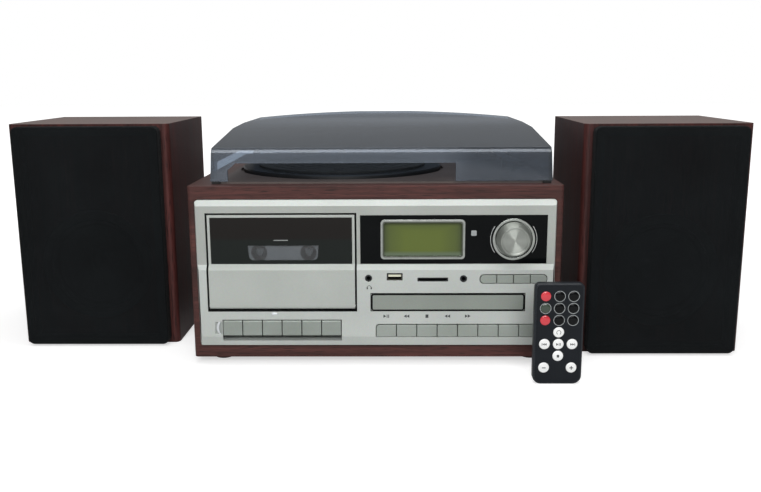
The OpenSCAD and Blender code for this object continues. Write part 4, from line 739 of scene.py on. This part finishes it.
# Zinc-plated sheet: pale, with the soft patches of its spangle. The spindles are dull grey acetal.
zinc_steel, tree, shader, place = start_finish("steel_sheet_zinc_plated")
spangle = put(tree, "TexVoronoi", {"Vector": place, "Scale": 180.0}).outputs["Distance"]
feed(tree, shader, {
    "Base Color": put(tree, "ValToRGB", {0: spangle}, stops=[(0.1, "#c2c6c7"), (0.8, "#d8dbdb")]),
    "Roughness": put(tree, "MapRange", {"Value": spangle, "To Min": 0.32, "To Max": 0.5}),
    "Metallic": 0.3})
soften("cassette_chassis", 0, zinc_steel)
grey_acetal = moulded("grey_acetal_moulded", "#4a4e51", "#404447", 0.4, 1.0, 0.15)
for name in ("supply_spindle", "takeup_spindle"):
    soften(name, 0, grey_acetal)


# Piano keys and push buttons
# Grey-green ABS, moulded and sprayed: six broad keys on levers, eight long buttons and four short.
# The keys are a little darker and duller than the buttons.
button_grey = silver_lacquer("grey_lacquer_on_abs_keys", "#9aa19b", "#8f968f", 0.35, 0.40)
key_grey = silver_lacquer("grey_lacquer_on_piano_keys", "#8e958f", "#848b85", 0.3, 0.42)
for kind, count, edge_w, finish in [("cassette_key", 6, 0.4, key_grey), ("main_button", 8, 0.35, button_grey),
                                    ("function_button", 4, 0.3, button_grey)]:
    for i in range(1, count + 1):
        soften(f"{kind}_{i}", edge_w, finish)


# Disc tray, loader and hub
# The tray is ABS sprayed like the buttons, and runs in a black loader under the deck. A black rim round the
# tray's front is painted shade in its gap to the panel.
tray_grey = silver_lacquer("grey_lacquer_on_the_tray", "#8f968f", "#868d86", 0.35, 0.40)
soften("cd_tray", 0, tray_grey)
tray_x0, tray_x1, tray_z0, tray_z1 = -3.4, 127.7, 50.2, 64.4
rim_w, rim_foot_w, rim_outer_r, rim_inner_r, rim_out, rim_in = 0.9, 0.54, 0.8, 1.0, 0.05, 0.3
slab_piece("tray_painted_gap_shade", [[
    rounded_box(tray_x0, tray_x1, tray_z0, tray_z1, rim_outer_r, rim_outer_r),
    rounded_box(tray_x0 + rim_w, tray_x1 - rim_w, tray_z0 + rim_foot_w, tray_z1 - rim_w,
                rim_inner_r, rim_inner_r)
]], lower_y - rim_out, lower_y + rim_in, gap_shade_black, "tray")
soften("cd_loader", 0, black_abs)
white_abs = moulded("white_acetal_moulded", "#d9dbda", "#cfd1cf", 0.4, 1.0, 0.15)
soften("disc_hub", 0.2, white_abs)


# Turntable: deck, platter, mat, drive and arm
# A brown ABS deck is dropped into the cabinet's top. On it turn a sprayed aluminium platter with a
# rubber mat, driven by a belt, and an arm with a black headshell and a bright counterweight.
deck_brown = moulded("brown_abs_deck_moulded", "#5a504c", "#4d4441", 0.5, 1.2, 0.3)
soften("turntable_deck", 0, deck_brown)
platter_black = moulded("platter_aluminium_sprayed_black", "#1d1f21", "#151618", 0.34, 1.0, 0.1)
platter = soften("platter", 0, platter_black)
# The spindle and its collar in the platter's middle are bare turned steel, which mirrors softly.
bright_steel = mottled("steel_turned_and_polished", 1500.0, 2.0, [(0.3, "#a9acad"), (0.7, "#c3c5c5")], 0.25,
                       metal=1.0)
platter_x, platter_y, collar_r, collar_z = -35.0, -18.0, 6.1, 163.0


def near_spindle(middle):
    """Whether a face is on the spindle or its collar."""
    x, y, z = in_unit(middle)
    return math.hypot(x - platter_x, y - platter_y) < collar_r and z > collar_z


paint_where(platter, bright_steel, near_spindle)
soften("platter_mat", 0.2, rubber("mat_rubber_moulded", "#1d2022", "#303437"))
soften("turntable_motor", 0.3, zinc_steel)
# Turned brass: a warm yellow with soft reflections.
brass = mottled("brass_turned", 400.0, 3.0, [(0.3, "#b8923e"), (0.7, "#d2b05c")], 0.3, metal=1.0)
soften("motor_pulley", 0.15, brass)
soften("drive_belt", 0, foot_rubber)
arm_black = moulded("black_abs_arm_moulded", "#202224", "#17181a", 0.3, 1.0, 0.1)
soften("arm_pivot", 0.3, arm_black)
tonearm = soften("tonearm", 0.3, arm_black)
# The arm's tube is satin aluminium and its counterweight is bright; headshell and block are black.
arm_tube = moulded("aluminium_tube_satin_anodised", "#b9bcbd", "#adb0b1", 0.3, 0.5, 0.05, metal=1.0)
arm_x, arm_y, arm_z, tube_r = 122.0, 92.0, 172.0, 3.05
tube_front, tube_end, weight_front = -176.0, -6.1, 12.9


def on_tube(middle):
    """Whether a face is on the arm's tube, between the headshell and the pivot's block."""
    x, y, z = in_unit(middle)
    return math.hypot(x - arm_x, z - arm_z) < tube_r and tube_front < y - arm_y < tube_end


paint_where(tonearm, arm_tube, on_tube)
paint_where(tonearm, bright_steel, lambda middle: in_unit(middle)[1] - arm_y > weight_front)
for name, finish in [("cue_lever", arm_black), ("speed_switch", white_abs), ("auto_stop_switch", white_abs)]:
    soften(name, 0.3, finish)


# Dust cover
# Smoked acrylic, injection moulded and polished, 2.5 mm thick, with two rubber bumpers. It is
# seen through, and shines strongly where it is seen at a flat angle.
smoked, tree, shader, place = start_finish("smoked_acrylic_moulded")
cloud = put(tree, "TexNoise", {"Vector": place, "Scale": 9.0, "Detail": 4.0})
tint = put(tree, "ValToRGB", {0: cloud}, stops=[(0.3, "#a7b0bb"), (0.7, "#afb8c3")])
# The front wall is hazy from handling, most of all over its cut-out, where the cover is raised, and this haze
# is also painted light that lightens the wall's left part. The rest has only a thin film of dust.
front_inside, front_outside, cut_right, cut_left = -0.1085, -0.1100, 0.085, 0.060
dust_film = 0.09
spot = put(tree, "SeparateXYZ", {0: place}).outputs
on_front = put(tree, "MapRange", {"Value": spot["Y"], "From Min": front_inside, "From Max": front_outside})
over_cut = put(tree, "MapRange", {"Value": spot["X"], "From Min": cut_right, "From Max": cut_left,
                                  "To Min": 0.05, "To Max": 0.17})
haze_and_painted_light = put(tree, "Math", {0: on_front, 1: over_cut}, operation="MULTIPLY")
haze = put(tree, "Math", {0: haze_and_painted_light, 1: dust_film}, operation="ADD")
rounded = put(tree, "Bevel", {"Radius": 0.0004}, samples=12)
gloss = put(tree, "BsdfGlossy", {"Color": "#e3e8ee", "Roughness": 0.12, "Normal": rounded})
milky = put(tree, "MixShader", {0: haze, 1: put(tree, "BsdfTransparent", {"Color": tint}),
                                2: put(tree, "BsdfDiffuse", {"Color": "#8d959f"})})
seen = put(tree, "MixShader", {0: put(tree, "Fresnel", {"IOR": 1.45}), 1: milky, 2: gloss})
# The walls scatter much of the light that they stop, so more of it reaches the deck than is seen.
lit = put(tree, "MixShader", {0: put(tree, "LightPath").outputs["Is Shadow Ray"], 1: seen,
                              2: put(tree, "BsdfTransparent", {"Color": "#dde0e3"})})
put(tree, "OutputMaterial", {"Surface": lit}, is_active_output=True)
dust_cover = soften("dust_cover", 0, smoked)
# The two bumpers under the front wall are black rubber.
wall_foot = 0.15999
paint_where(dust_cover, foot_rubber, lambda middle: middle.z < wall_foot and middle.y < 0.0)


# Boards and transformer inside
# Glass-fibre boards with copper tracks under green lacquer, which shines a little, and a
# transformer in a plated steel frame. They are screwed down inside the cabinet.
circuit_board, tree, shader, place = start_finish("glass_fibre_board_lacquered")
tracks = put(tree, "TexBrick", {"Vector": place, "Scale": 60.0, "Color1": "#2f6b45", "Color2": "#2a6140",
                                "Mortar": "#3f7f55"})
feed(tree, shader, {"Base Color": tracks, "Roughness": 0.35})
soften("control_board", 0, circuit_board)
soften("main_board", 0, circuit_board)
soften("transformer", 0.3, zinc_steel)


# Speakers: boxes, drivers and grilles
# Boxes of the same veneer with upright grain. A full-range driver sits in each, behind a moulded
# frame with black knitted cloth stretched over it and drawn back along its sides.
# The boxes' tops take a grey film of up to a third: partly dust, partly a painted sheen of the light on them.
box_veneer = veneer("mahogany_veneer_upright", "Z", "#572c29", "#3f211f", "#271413", 0.33)

# The driver: a pressed paper cone in a painted steel basket, with a half-rolled rubber surround
# and a shiny dust cap, both turned shapes.
cone_paper = moulded("driver_paper_pressed", "#232527", "#1b1d1f", 0.7, 0.7, 0.4)
basket_paint = moulded("driver_basket_steel_painted", "#242628", "#1d1f20", 0.5, 0.8, 0.1)
surround_rubber = rubber("driver_surround_rubber_moulded", "#0f1011", "#1a1b1c")
cap_metal = moulded("dust_cap_aluminium_pressed", "#dfe2e3", "#d2d5d6", 0.18, 0.6, 0.05, metal=1.0)
cap_profile = [(0.0, 29.2), (14.2, 28.6), (13.6, 26.0), (11.6, 23.4), (8.4, 21.4), (4.5, 20.3), (0.0, 19.9)]
roll_profile = [(34.8, 11.4), (35.4, 7.4), (37.4, 4.3), (40.2, 2.9), (42.6, 3.4), (43.4, 5.4), (40.4, 8.2),
                (36.6, 11.8)]
basket_rim, basket_back = 0.0081, 0.0295


def turned(name, profile, middle, finish, body, steps=48):
    """Turns a closed profile of (radius, depth), in millimetres, round the axis through middle."""
    mesh = bmesh.new()
    rows = []
    for i in range(steps):
        t = 2 * math.pi * i / steps
        rows.append([mesh.verts.new(middle + Vector((r * math.cos(t), depth, r * math.sin(t))) / 1000)
                     for r, depth in profile])
    for one, other in zip(rows, rows[1:] + rows[:1]):
        for k in range(len(profile)):
            corners = [one[k - 1], one[k], other[k], other[k - 1]]
            # A corner on the axis is shared by every row, so its face has three corners.
            if profile[k][0] == 0:
                corners = [one[k - 1], one[k], other[k - 1]]
            if profile[k - 1][0] == 0:
                corners = [one[k - 1], one[k], other[k]]
            if profile[k][0] or profile[k - 1][0]:
                mesh.faces.new(corners)
    return finish_piece(name, mesh, finish, body)


# The cloth: a warp-knitted polyester. Its stitches are 0.6 mm and are drawn at 1.1 mm, and light
# passes between them, so that what is behind shows faintly.
stitch = 0.0011
grille_cloth, tree, shader, place = start_finish("black_polyester_knitted")
strand = put(tree, "SeparateXYZ", {0: put(tree, "UVMap", uv_map="Cloth")}).outputs
courses = []
for axis in "XY":
    along = put(tree, "Math", {0: strand[axis], 1: 2 * math.pi / stitch}, operation="MULTIPLY")
    courses.append(put(tree, "Math", {0: along}, operation="SINE"))
loops = put(tree, "Math", {0: courses[0], 1: courses[1]}, operation="MULTIPLY")
shade = put(tree, "TexNoise", {"Vector": place, "Scale": 16.0, "Detail": 3.0})
yarn = put(tree, "ValToRGB", {0: shade}, stops=[(0.3, "#090c0e"), (0.7, "#0f1315")])
# The yarn is painted lighter on the stitches' tops and darker between them: painted light and shade on the
# knit.
stitch_painted_shade = put(tree, "MapRange", {"Value": loops, "From Min": -1.0, "To Min": 0.55, "To Max": 1.3})
feed(tree, shader, {
    "Base Color": put(tree, "VectorMath", {0: yarn, "Scale": stitch_painted_shade}, operation="SCALE"),
    "Normal": put(tree, "Bump", {"Height": loops, "Strength": 0.6, "Distance": 0.0002}),
    "Alpha": put(tree, "MapRange", {"Value": loops, "From Min": -1.0, "From Max": -0.1, "To Min": 0.45}),
    "Roughness": 0.9, "Specular IOR Level": 0.15, "Sheen Weight": 0.03, "Sheen Roughness": 0.5})

grille_corner, least_corner, ring_steps = 0.0055, 0.0003, 6
roll, hem, roll_steps = 0.0014, 0.0004, 4
frame_outer, frame_inner, cloth_room, chamfer, chamfer_depth = 0.0003, 0.0078, 0.0004, 0.001, 0.0018


def grille_ring(low, high, inset, depth):
    """The places of one loop round the grille: inset from its outline, at a depth behind its face."""
    x0, x1, z0, z1 = low.x + inset, high.x - inset, low.z + inset, high.z - inset
    r = max(grille_corner - inset, least_corner)
    return [Vector((x, low.y + depth, z)) for x, z in rounded_box(x0, x1, z0, z1, r, r, ring_steps)]


def lay(mesh, laid, corners):
    """Adds a face of cloth. Each corner is a vertex with its place on the flat cloth."""
    face = mesh.faces.new([vert for vert, place in corners])
    for loop, (vert, place) in zip(face.loops, corners):
        loop[laid].uv = place
    return face


for side in ("left", "right"):
    soften(f"{side}_speaker_box", 0.5, box_veneer)
    driver = soften(f"{side}_woofer", 0, cone_paper)
    low, high = [Vector(corner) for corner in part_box(f"{side}_woofer")]
    middle = Vector(((low.x + high.x) / 2, low.y, (low.z + high.z) / 2))
    rim_r = (high.x - low.x) / 2 - basket_rim
    paint_where(driver, basket_paint, lambda face: (
        math.hypot(face.x - middle.x, face.z - middle.z) > rim_r or face.y > middle.y + basket_back))
    turned(f"{side}_dust_cap", cap_profile, middle, cap_metal, f"{side}_speaker")
    turned(f"{side}_surround", roll_profile, middle, surround_rubber, f"{side}_speaker")

    # The frame, which holds the cloth from behind.
    low, high = [Vector(corner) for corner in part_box(f"{side}_speaker_grille")]
    grille_depth = high.y - low.y
    frame_mesh = bmesh.new()
    rows = [[frame_mesh.verts.new(co) for co in grille_ring(low, high, inset, depth)] for inset, depth in [
        (frame_outer, chamfer_depth), (frame_outer + chamfer, cloth_room), (frame_inner, cloth_room),
        (frame_inner, grille_depth - cloth_room), (frame_outer, grille_depth - cloth_room)]]
    for one, other in zip(rows, rows[1:] + rows[:1]):
        bridge(frame_mesh, one, other)
    finish_piece(f"{side}_grille_frame", frame_mesh, black_abs, f"{side}_grille")

    # The cloth: flat over the front, rolled over the frame's edge and drawn back along its sides.
    # Each section is its inset, its depth and how far it lies from the roll's start on the flat cloth.
    cloth = bmesh.new()
    laid = cloth.loops.layers.uv.new("Cloth")
    side_length = grille_depth - roll - hem
    sections = [(roll * (1 - math.sin(t)), roll * (1 - math.cos(t)), roll * t)
                for t in [math.pi / 2 * k / roll_steps for k in range(roll_steps + 1)]]
    sections += [(0.0, roll + side_length * k / 2, roll * math.pi / 2 + side_length * k / 2) for k in (1, 2)]
    rings = []
    for inset, depth, spread in sections:
        ring = [cloth.verts.new(co) for co in grille_ring(low, high, inset, depth)]
        rings.append(list(zip(ring, [(co.x, co.z) for co in grille_ring(low, high, roll - spread, 0.0)])))
    front = lay(cloth, laid, rings[0])
    for one, other in zip(rings, rings[1:]):
        for i in range(len(one)):
            j = (i + 1) % len(one)
            lay(cloth, laid, (one[i], one[j], other[j], other[i]))
    bmesh.ops.triangulate(cloth, faces=[front])
    sheet = finish_piece(f"{side}_grille_cloth", cloth, grille_cloth, f"{side}_grille", 80)
    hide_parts(f"{side}_speaker_grille")


# Remote
# A card remote in a blue-black moulded case. A printed polyester sheet lies on its face, with
# sixteen pressed domes: dark, olive and red ones above, and white ones below.
remote_abs = moulded("remote_abs_moulded", "#23272c", "#1b1f24", 0.36, 0.8, 0.3, shine=0.25)
remote_x, remote_half_w, remote_h = 149.0, 20.0, 85.0
remote_face, remote_back, back_edge = -201.0, -194.5, 0.6
corner_low, corner_high, edge_r, edge_steps = 7.0, 4.2, 1.3, 5


def case_ring(inset, y):
    """The places of one loop round the remote's case: inset from its outline, at a depth y."""
    half = remote_half_w - inset
    return [at(x, y, z) for x, z in rounded_box(remote_x - half, remote_x + half, inset, remote_h - inset,
                                                corner_low - inset, corner_high - inset, steps=8)]


case = bmesh.new()
quarter = [math.pi / 2 * k / edge_steps for k in range(edge_steps + 1)]
places = [case_ring(edge_r * (1 - math.sin(t)), remote_face + edge_r * (1 - math.cos(t))) for t in quarter]
places += [case_ring(0.0, remote_back - back_edge), case_ring(back_edge, remote_back)]
rings = [[case.verts.new(co) for co in ring] for ring in places]
for one, other in zip(rings, rings[1:]):
    bridge(case, one, other)
case.faces.new(rings[0])
case.faces.new(rings[-1])
case_piece = finish_piece("remote_shell", case, remote_abs, "remote")
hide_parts("remote_case")

# Printed polyester: a smooth blue-black sheet with a low shine, glued to the case.
face_ink = moulded("polyester_sheet_printed", "#14181e", "#0e1217", 0.3, 0.5, 0.1, shine=0.2)
sheet_half_w, sheet_z0, sheet_z1, sheet_low_r, sheet_high_r, sheet_t = 18.4, 1.6, 83.4, 5.6, 2.8, 0.4
sheet_face = remote_face - sheet_t
face_piece = slab_piece("remote_face", [[
    rounded_box(remote_x - sheet_half_w, remote_x + sheet_half_w, sheet_z0, sheet_z1,
                sheet_low_r, sheet_high_r, steps=8)
]], sheet_face, remote_face, face_ink, "remote")
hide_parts("remote_keypad")

key_col, key_row, top_row_z = 11.2, 10.0, 74.4
red_keys, olive_keys = [(-1, 0), (-1, 2)], [(-1, 1)]
white_keys = [(0, 3), (-1, 4), (0, 4), (1, 4), (0, 5), (-1, 6), (1, 6)]
dark_keys = [(c, r) for r in range(3) for c in (-1, 0, 1) if (c, r) not in red_keys + olive_keys]


def key_place(key):
    """The middle of a key on the remote's face, as (x, z), from its column and row."""
    return remote_x + key[0] * key_col, top_row_z - key[1] * key_row


def dome_tree(finish):
    """Geometry Nodes: a flattened dome of Key Radius and Key Height on every point of the mesh."""
    group = bpy.data.node_groups.new("domes_on_keys", "GeometryNodeTree")
    group.interface.new_socket("Places", in_out="INPUT", socket_type="NodeSocketGeometry")
    for label in ("Key Radius", "Key Height"):
        group.interface.new_socket(label, in_out="INPUT", socket_type="NodeSocketFloat")
    group.interface.new_socket("Domes", in_out="OUTPUT", socket_type="NodeSocketGeometry")
    inputs = group.nodes.new("NodeGroupInput")
    ball = group.nodes.new("GeometryNodeMeshUVSphere")
    ball.inputs["Segments"].default_value = 32
    ball.inputs["Rings"].default_value = 16
    ball.inputs["Radius"].default_value = 1.0
    scale = group.nodes.new("ShaderNodeCombineXYZ")
    group.links.new(inputs.outputs["Key Radius"], scale.inputs["X"])
    group.links.new(inputs.outputs["Key Radius"], scale.inputs["Y"])
    group.links.new(inputs.outputs["Key Height"], scale.inputs["Z"])
    squash = group.nodes.new("GeometryNodeTransform")
    group.links.new(ball.outputs["Mesh"], squash.inputs["Geometry"])
    group.links.new(scale.outputs[0], squash.inputs["Scale"])
    squash.inputs["Rotation"].default_value = (math.radians(90), 0, 0)
    spread = group.nodes.new("GeometryNodeInstanceOnPoints")
    group.links.new(inputs.outputs["Places"], spread.inputs["Points"])
    group.links.new(squash.outputs["Geometry"], spread.inputs["Instance"])
    real = group.nodes.new("GeometryNodeRealizeInstances")
    group.links.new(spread.outputs["Instances"], real.inputs["Geometry"])
    paint = group.nodes.new("GeometryNodeSetMaterial")
    paint.inputs["Material"].default_value = finish
    group.links.new(real.outputs["Geometry"], paint.inputs["Geometry"])
    group.links.new(paint.outputs["Geometry"], group.nodes.new("NodeGroupOutput").inputs["Domes"])
    return group


def press_domes(name, keys, finish, radius, height):
    """Presses one dome for each key, and keeps them as one plain mesh that rides on the remote."""
    places = bpy.data.meshes.new(name + "_places")
    spots = [key_place(key) for key in keys]
    places.from_pydata([at(x, sheet_face, z) for x, z in spots], [], [])
    holder = bpy.data.objects.new(name + "_places", places)
    scene.collection.objects.link(holder)
    maker = holder.modifiers.new("domes", "NODES")
    group = dome_tree(finish)
    maker.node_group = group
    sizes = {item.name: item.identifier for item in group.interface.items_tree
             if item.item_type == "SOCKET" and item.in_out == "INPUT"}
    maker[sizes["Key Radius"]] = radius / 1000
    maker[sizes["Key Height"]] = height / 1000
    bpy.context.view_layer.update()
    shaped = bpy.data.meshes.new_from_object(holder.evaluated_get(bpy.context.evaluated_depsgraph_get()))
    bpy.data.objects.remove(holder)
    for face in shaped.polygons:
        face.use_smooth = True
    domes = bpy.data.objects.new(name, shaped)
    scene.collection.objects.link(domes)
    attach(domes, "remote")


# The domes are glossy polyester, dark, red and olive, and satin where they are white.
dark_dome = moulded("polyester_dome_black_gloss", "#060709", "#040506", 0.2, 0.6, 0.05, 0.1, shine=0.15)
red_dome = moulded("polyester_dome_red_gloss", "#d23b45", "#c02f39", 0.2, 0.6, 0.05, 0.4)
olive_dome = moulded("polyester_dome_olive_gloss", "#3c4a3c", "#313d32", 0.2, 0.6, 0.05, 0.4)
white_dome = moulded("polyester_dome_white_satin", "#f0f1f0", "#e6e7e6", 0.4, 0.6, 0.05, 0.1)
dome_h = 0.9
for colour, keys, finish, dome_r in [
    ("dark", dark_keys, dark_dome, 4.0),
    ("red", red_keys, red_dome, 4.1),
    ("olive", olive_keys, olive_dome, 4.0),
    ("white", white_keys, white_dome, 4.37),
]:
    press_domes(f"remote_domes_{colour}", keys, finish, dome_r, dome_h)

# Printed rings round the dark and olive domes, in a flat mid grey, and dark marks on the white ones.
ring_ink = mottled("grey_ink_screen_printed", 2000.0, 2.0, [(0.35, "#8b8f90"), (0.7, "#a5a9a9")], 0.45)
ring_outer_r, ring_inner_r, ring_out, ring_in = 4.55, 4.1, 0.12, 0.1
slab_piece("remote_rings", [
    [circle(*key_place(key), r, steps=48) for r in (ring_outer_r, ring_inner_r)]
    for key in dark_keys + olive_keys
], sheet_face - ring_out, sheet_face + ring_in, ring_ink, "remote")
key_marks = [[outline] for key, kind, mark_height in [
    ((-1, 4), "skip_back", 2.0), ((0, 4), "play_pause", 2.2), ((1, 4), "skip_ahead", 2.0),
    ((0, 5), "stop", 2.2), ((-1, 6), "minus", 3.0), ((1, 6), "plus", 3.0),
] for outline in transport_mark(kind, *key_place(key), mark_height)]
# The upper white key has a ring that is open at its foot.
x, z = key_place((0, 3))
open_outer_r, open_inner_r, open_start, open_end = 1.9, 1.5, -60, 240
key_marks.append([arc(x, z, open_outer_r, open_start, open_end, steps=20)
                  + arc(x, z, open_inner_r, open_end, open_start, steps=20)])
mark_over_dome, mark_root = 0.04, 0.5
slab_piece("remote_marks", key_marks, sheet_face - dome_h - mark_over_dome, sheet_face - mark_root, dark_ink,
           "remote")
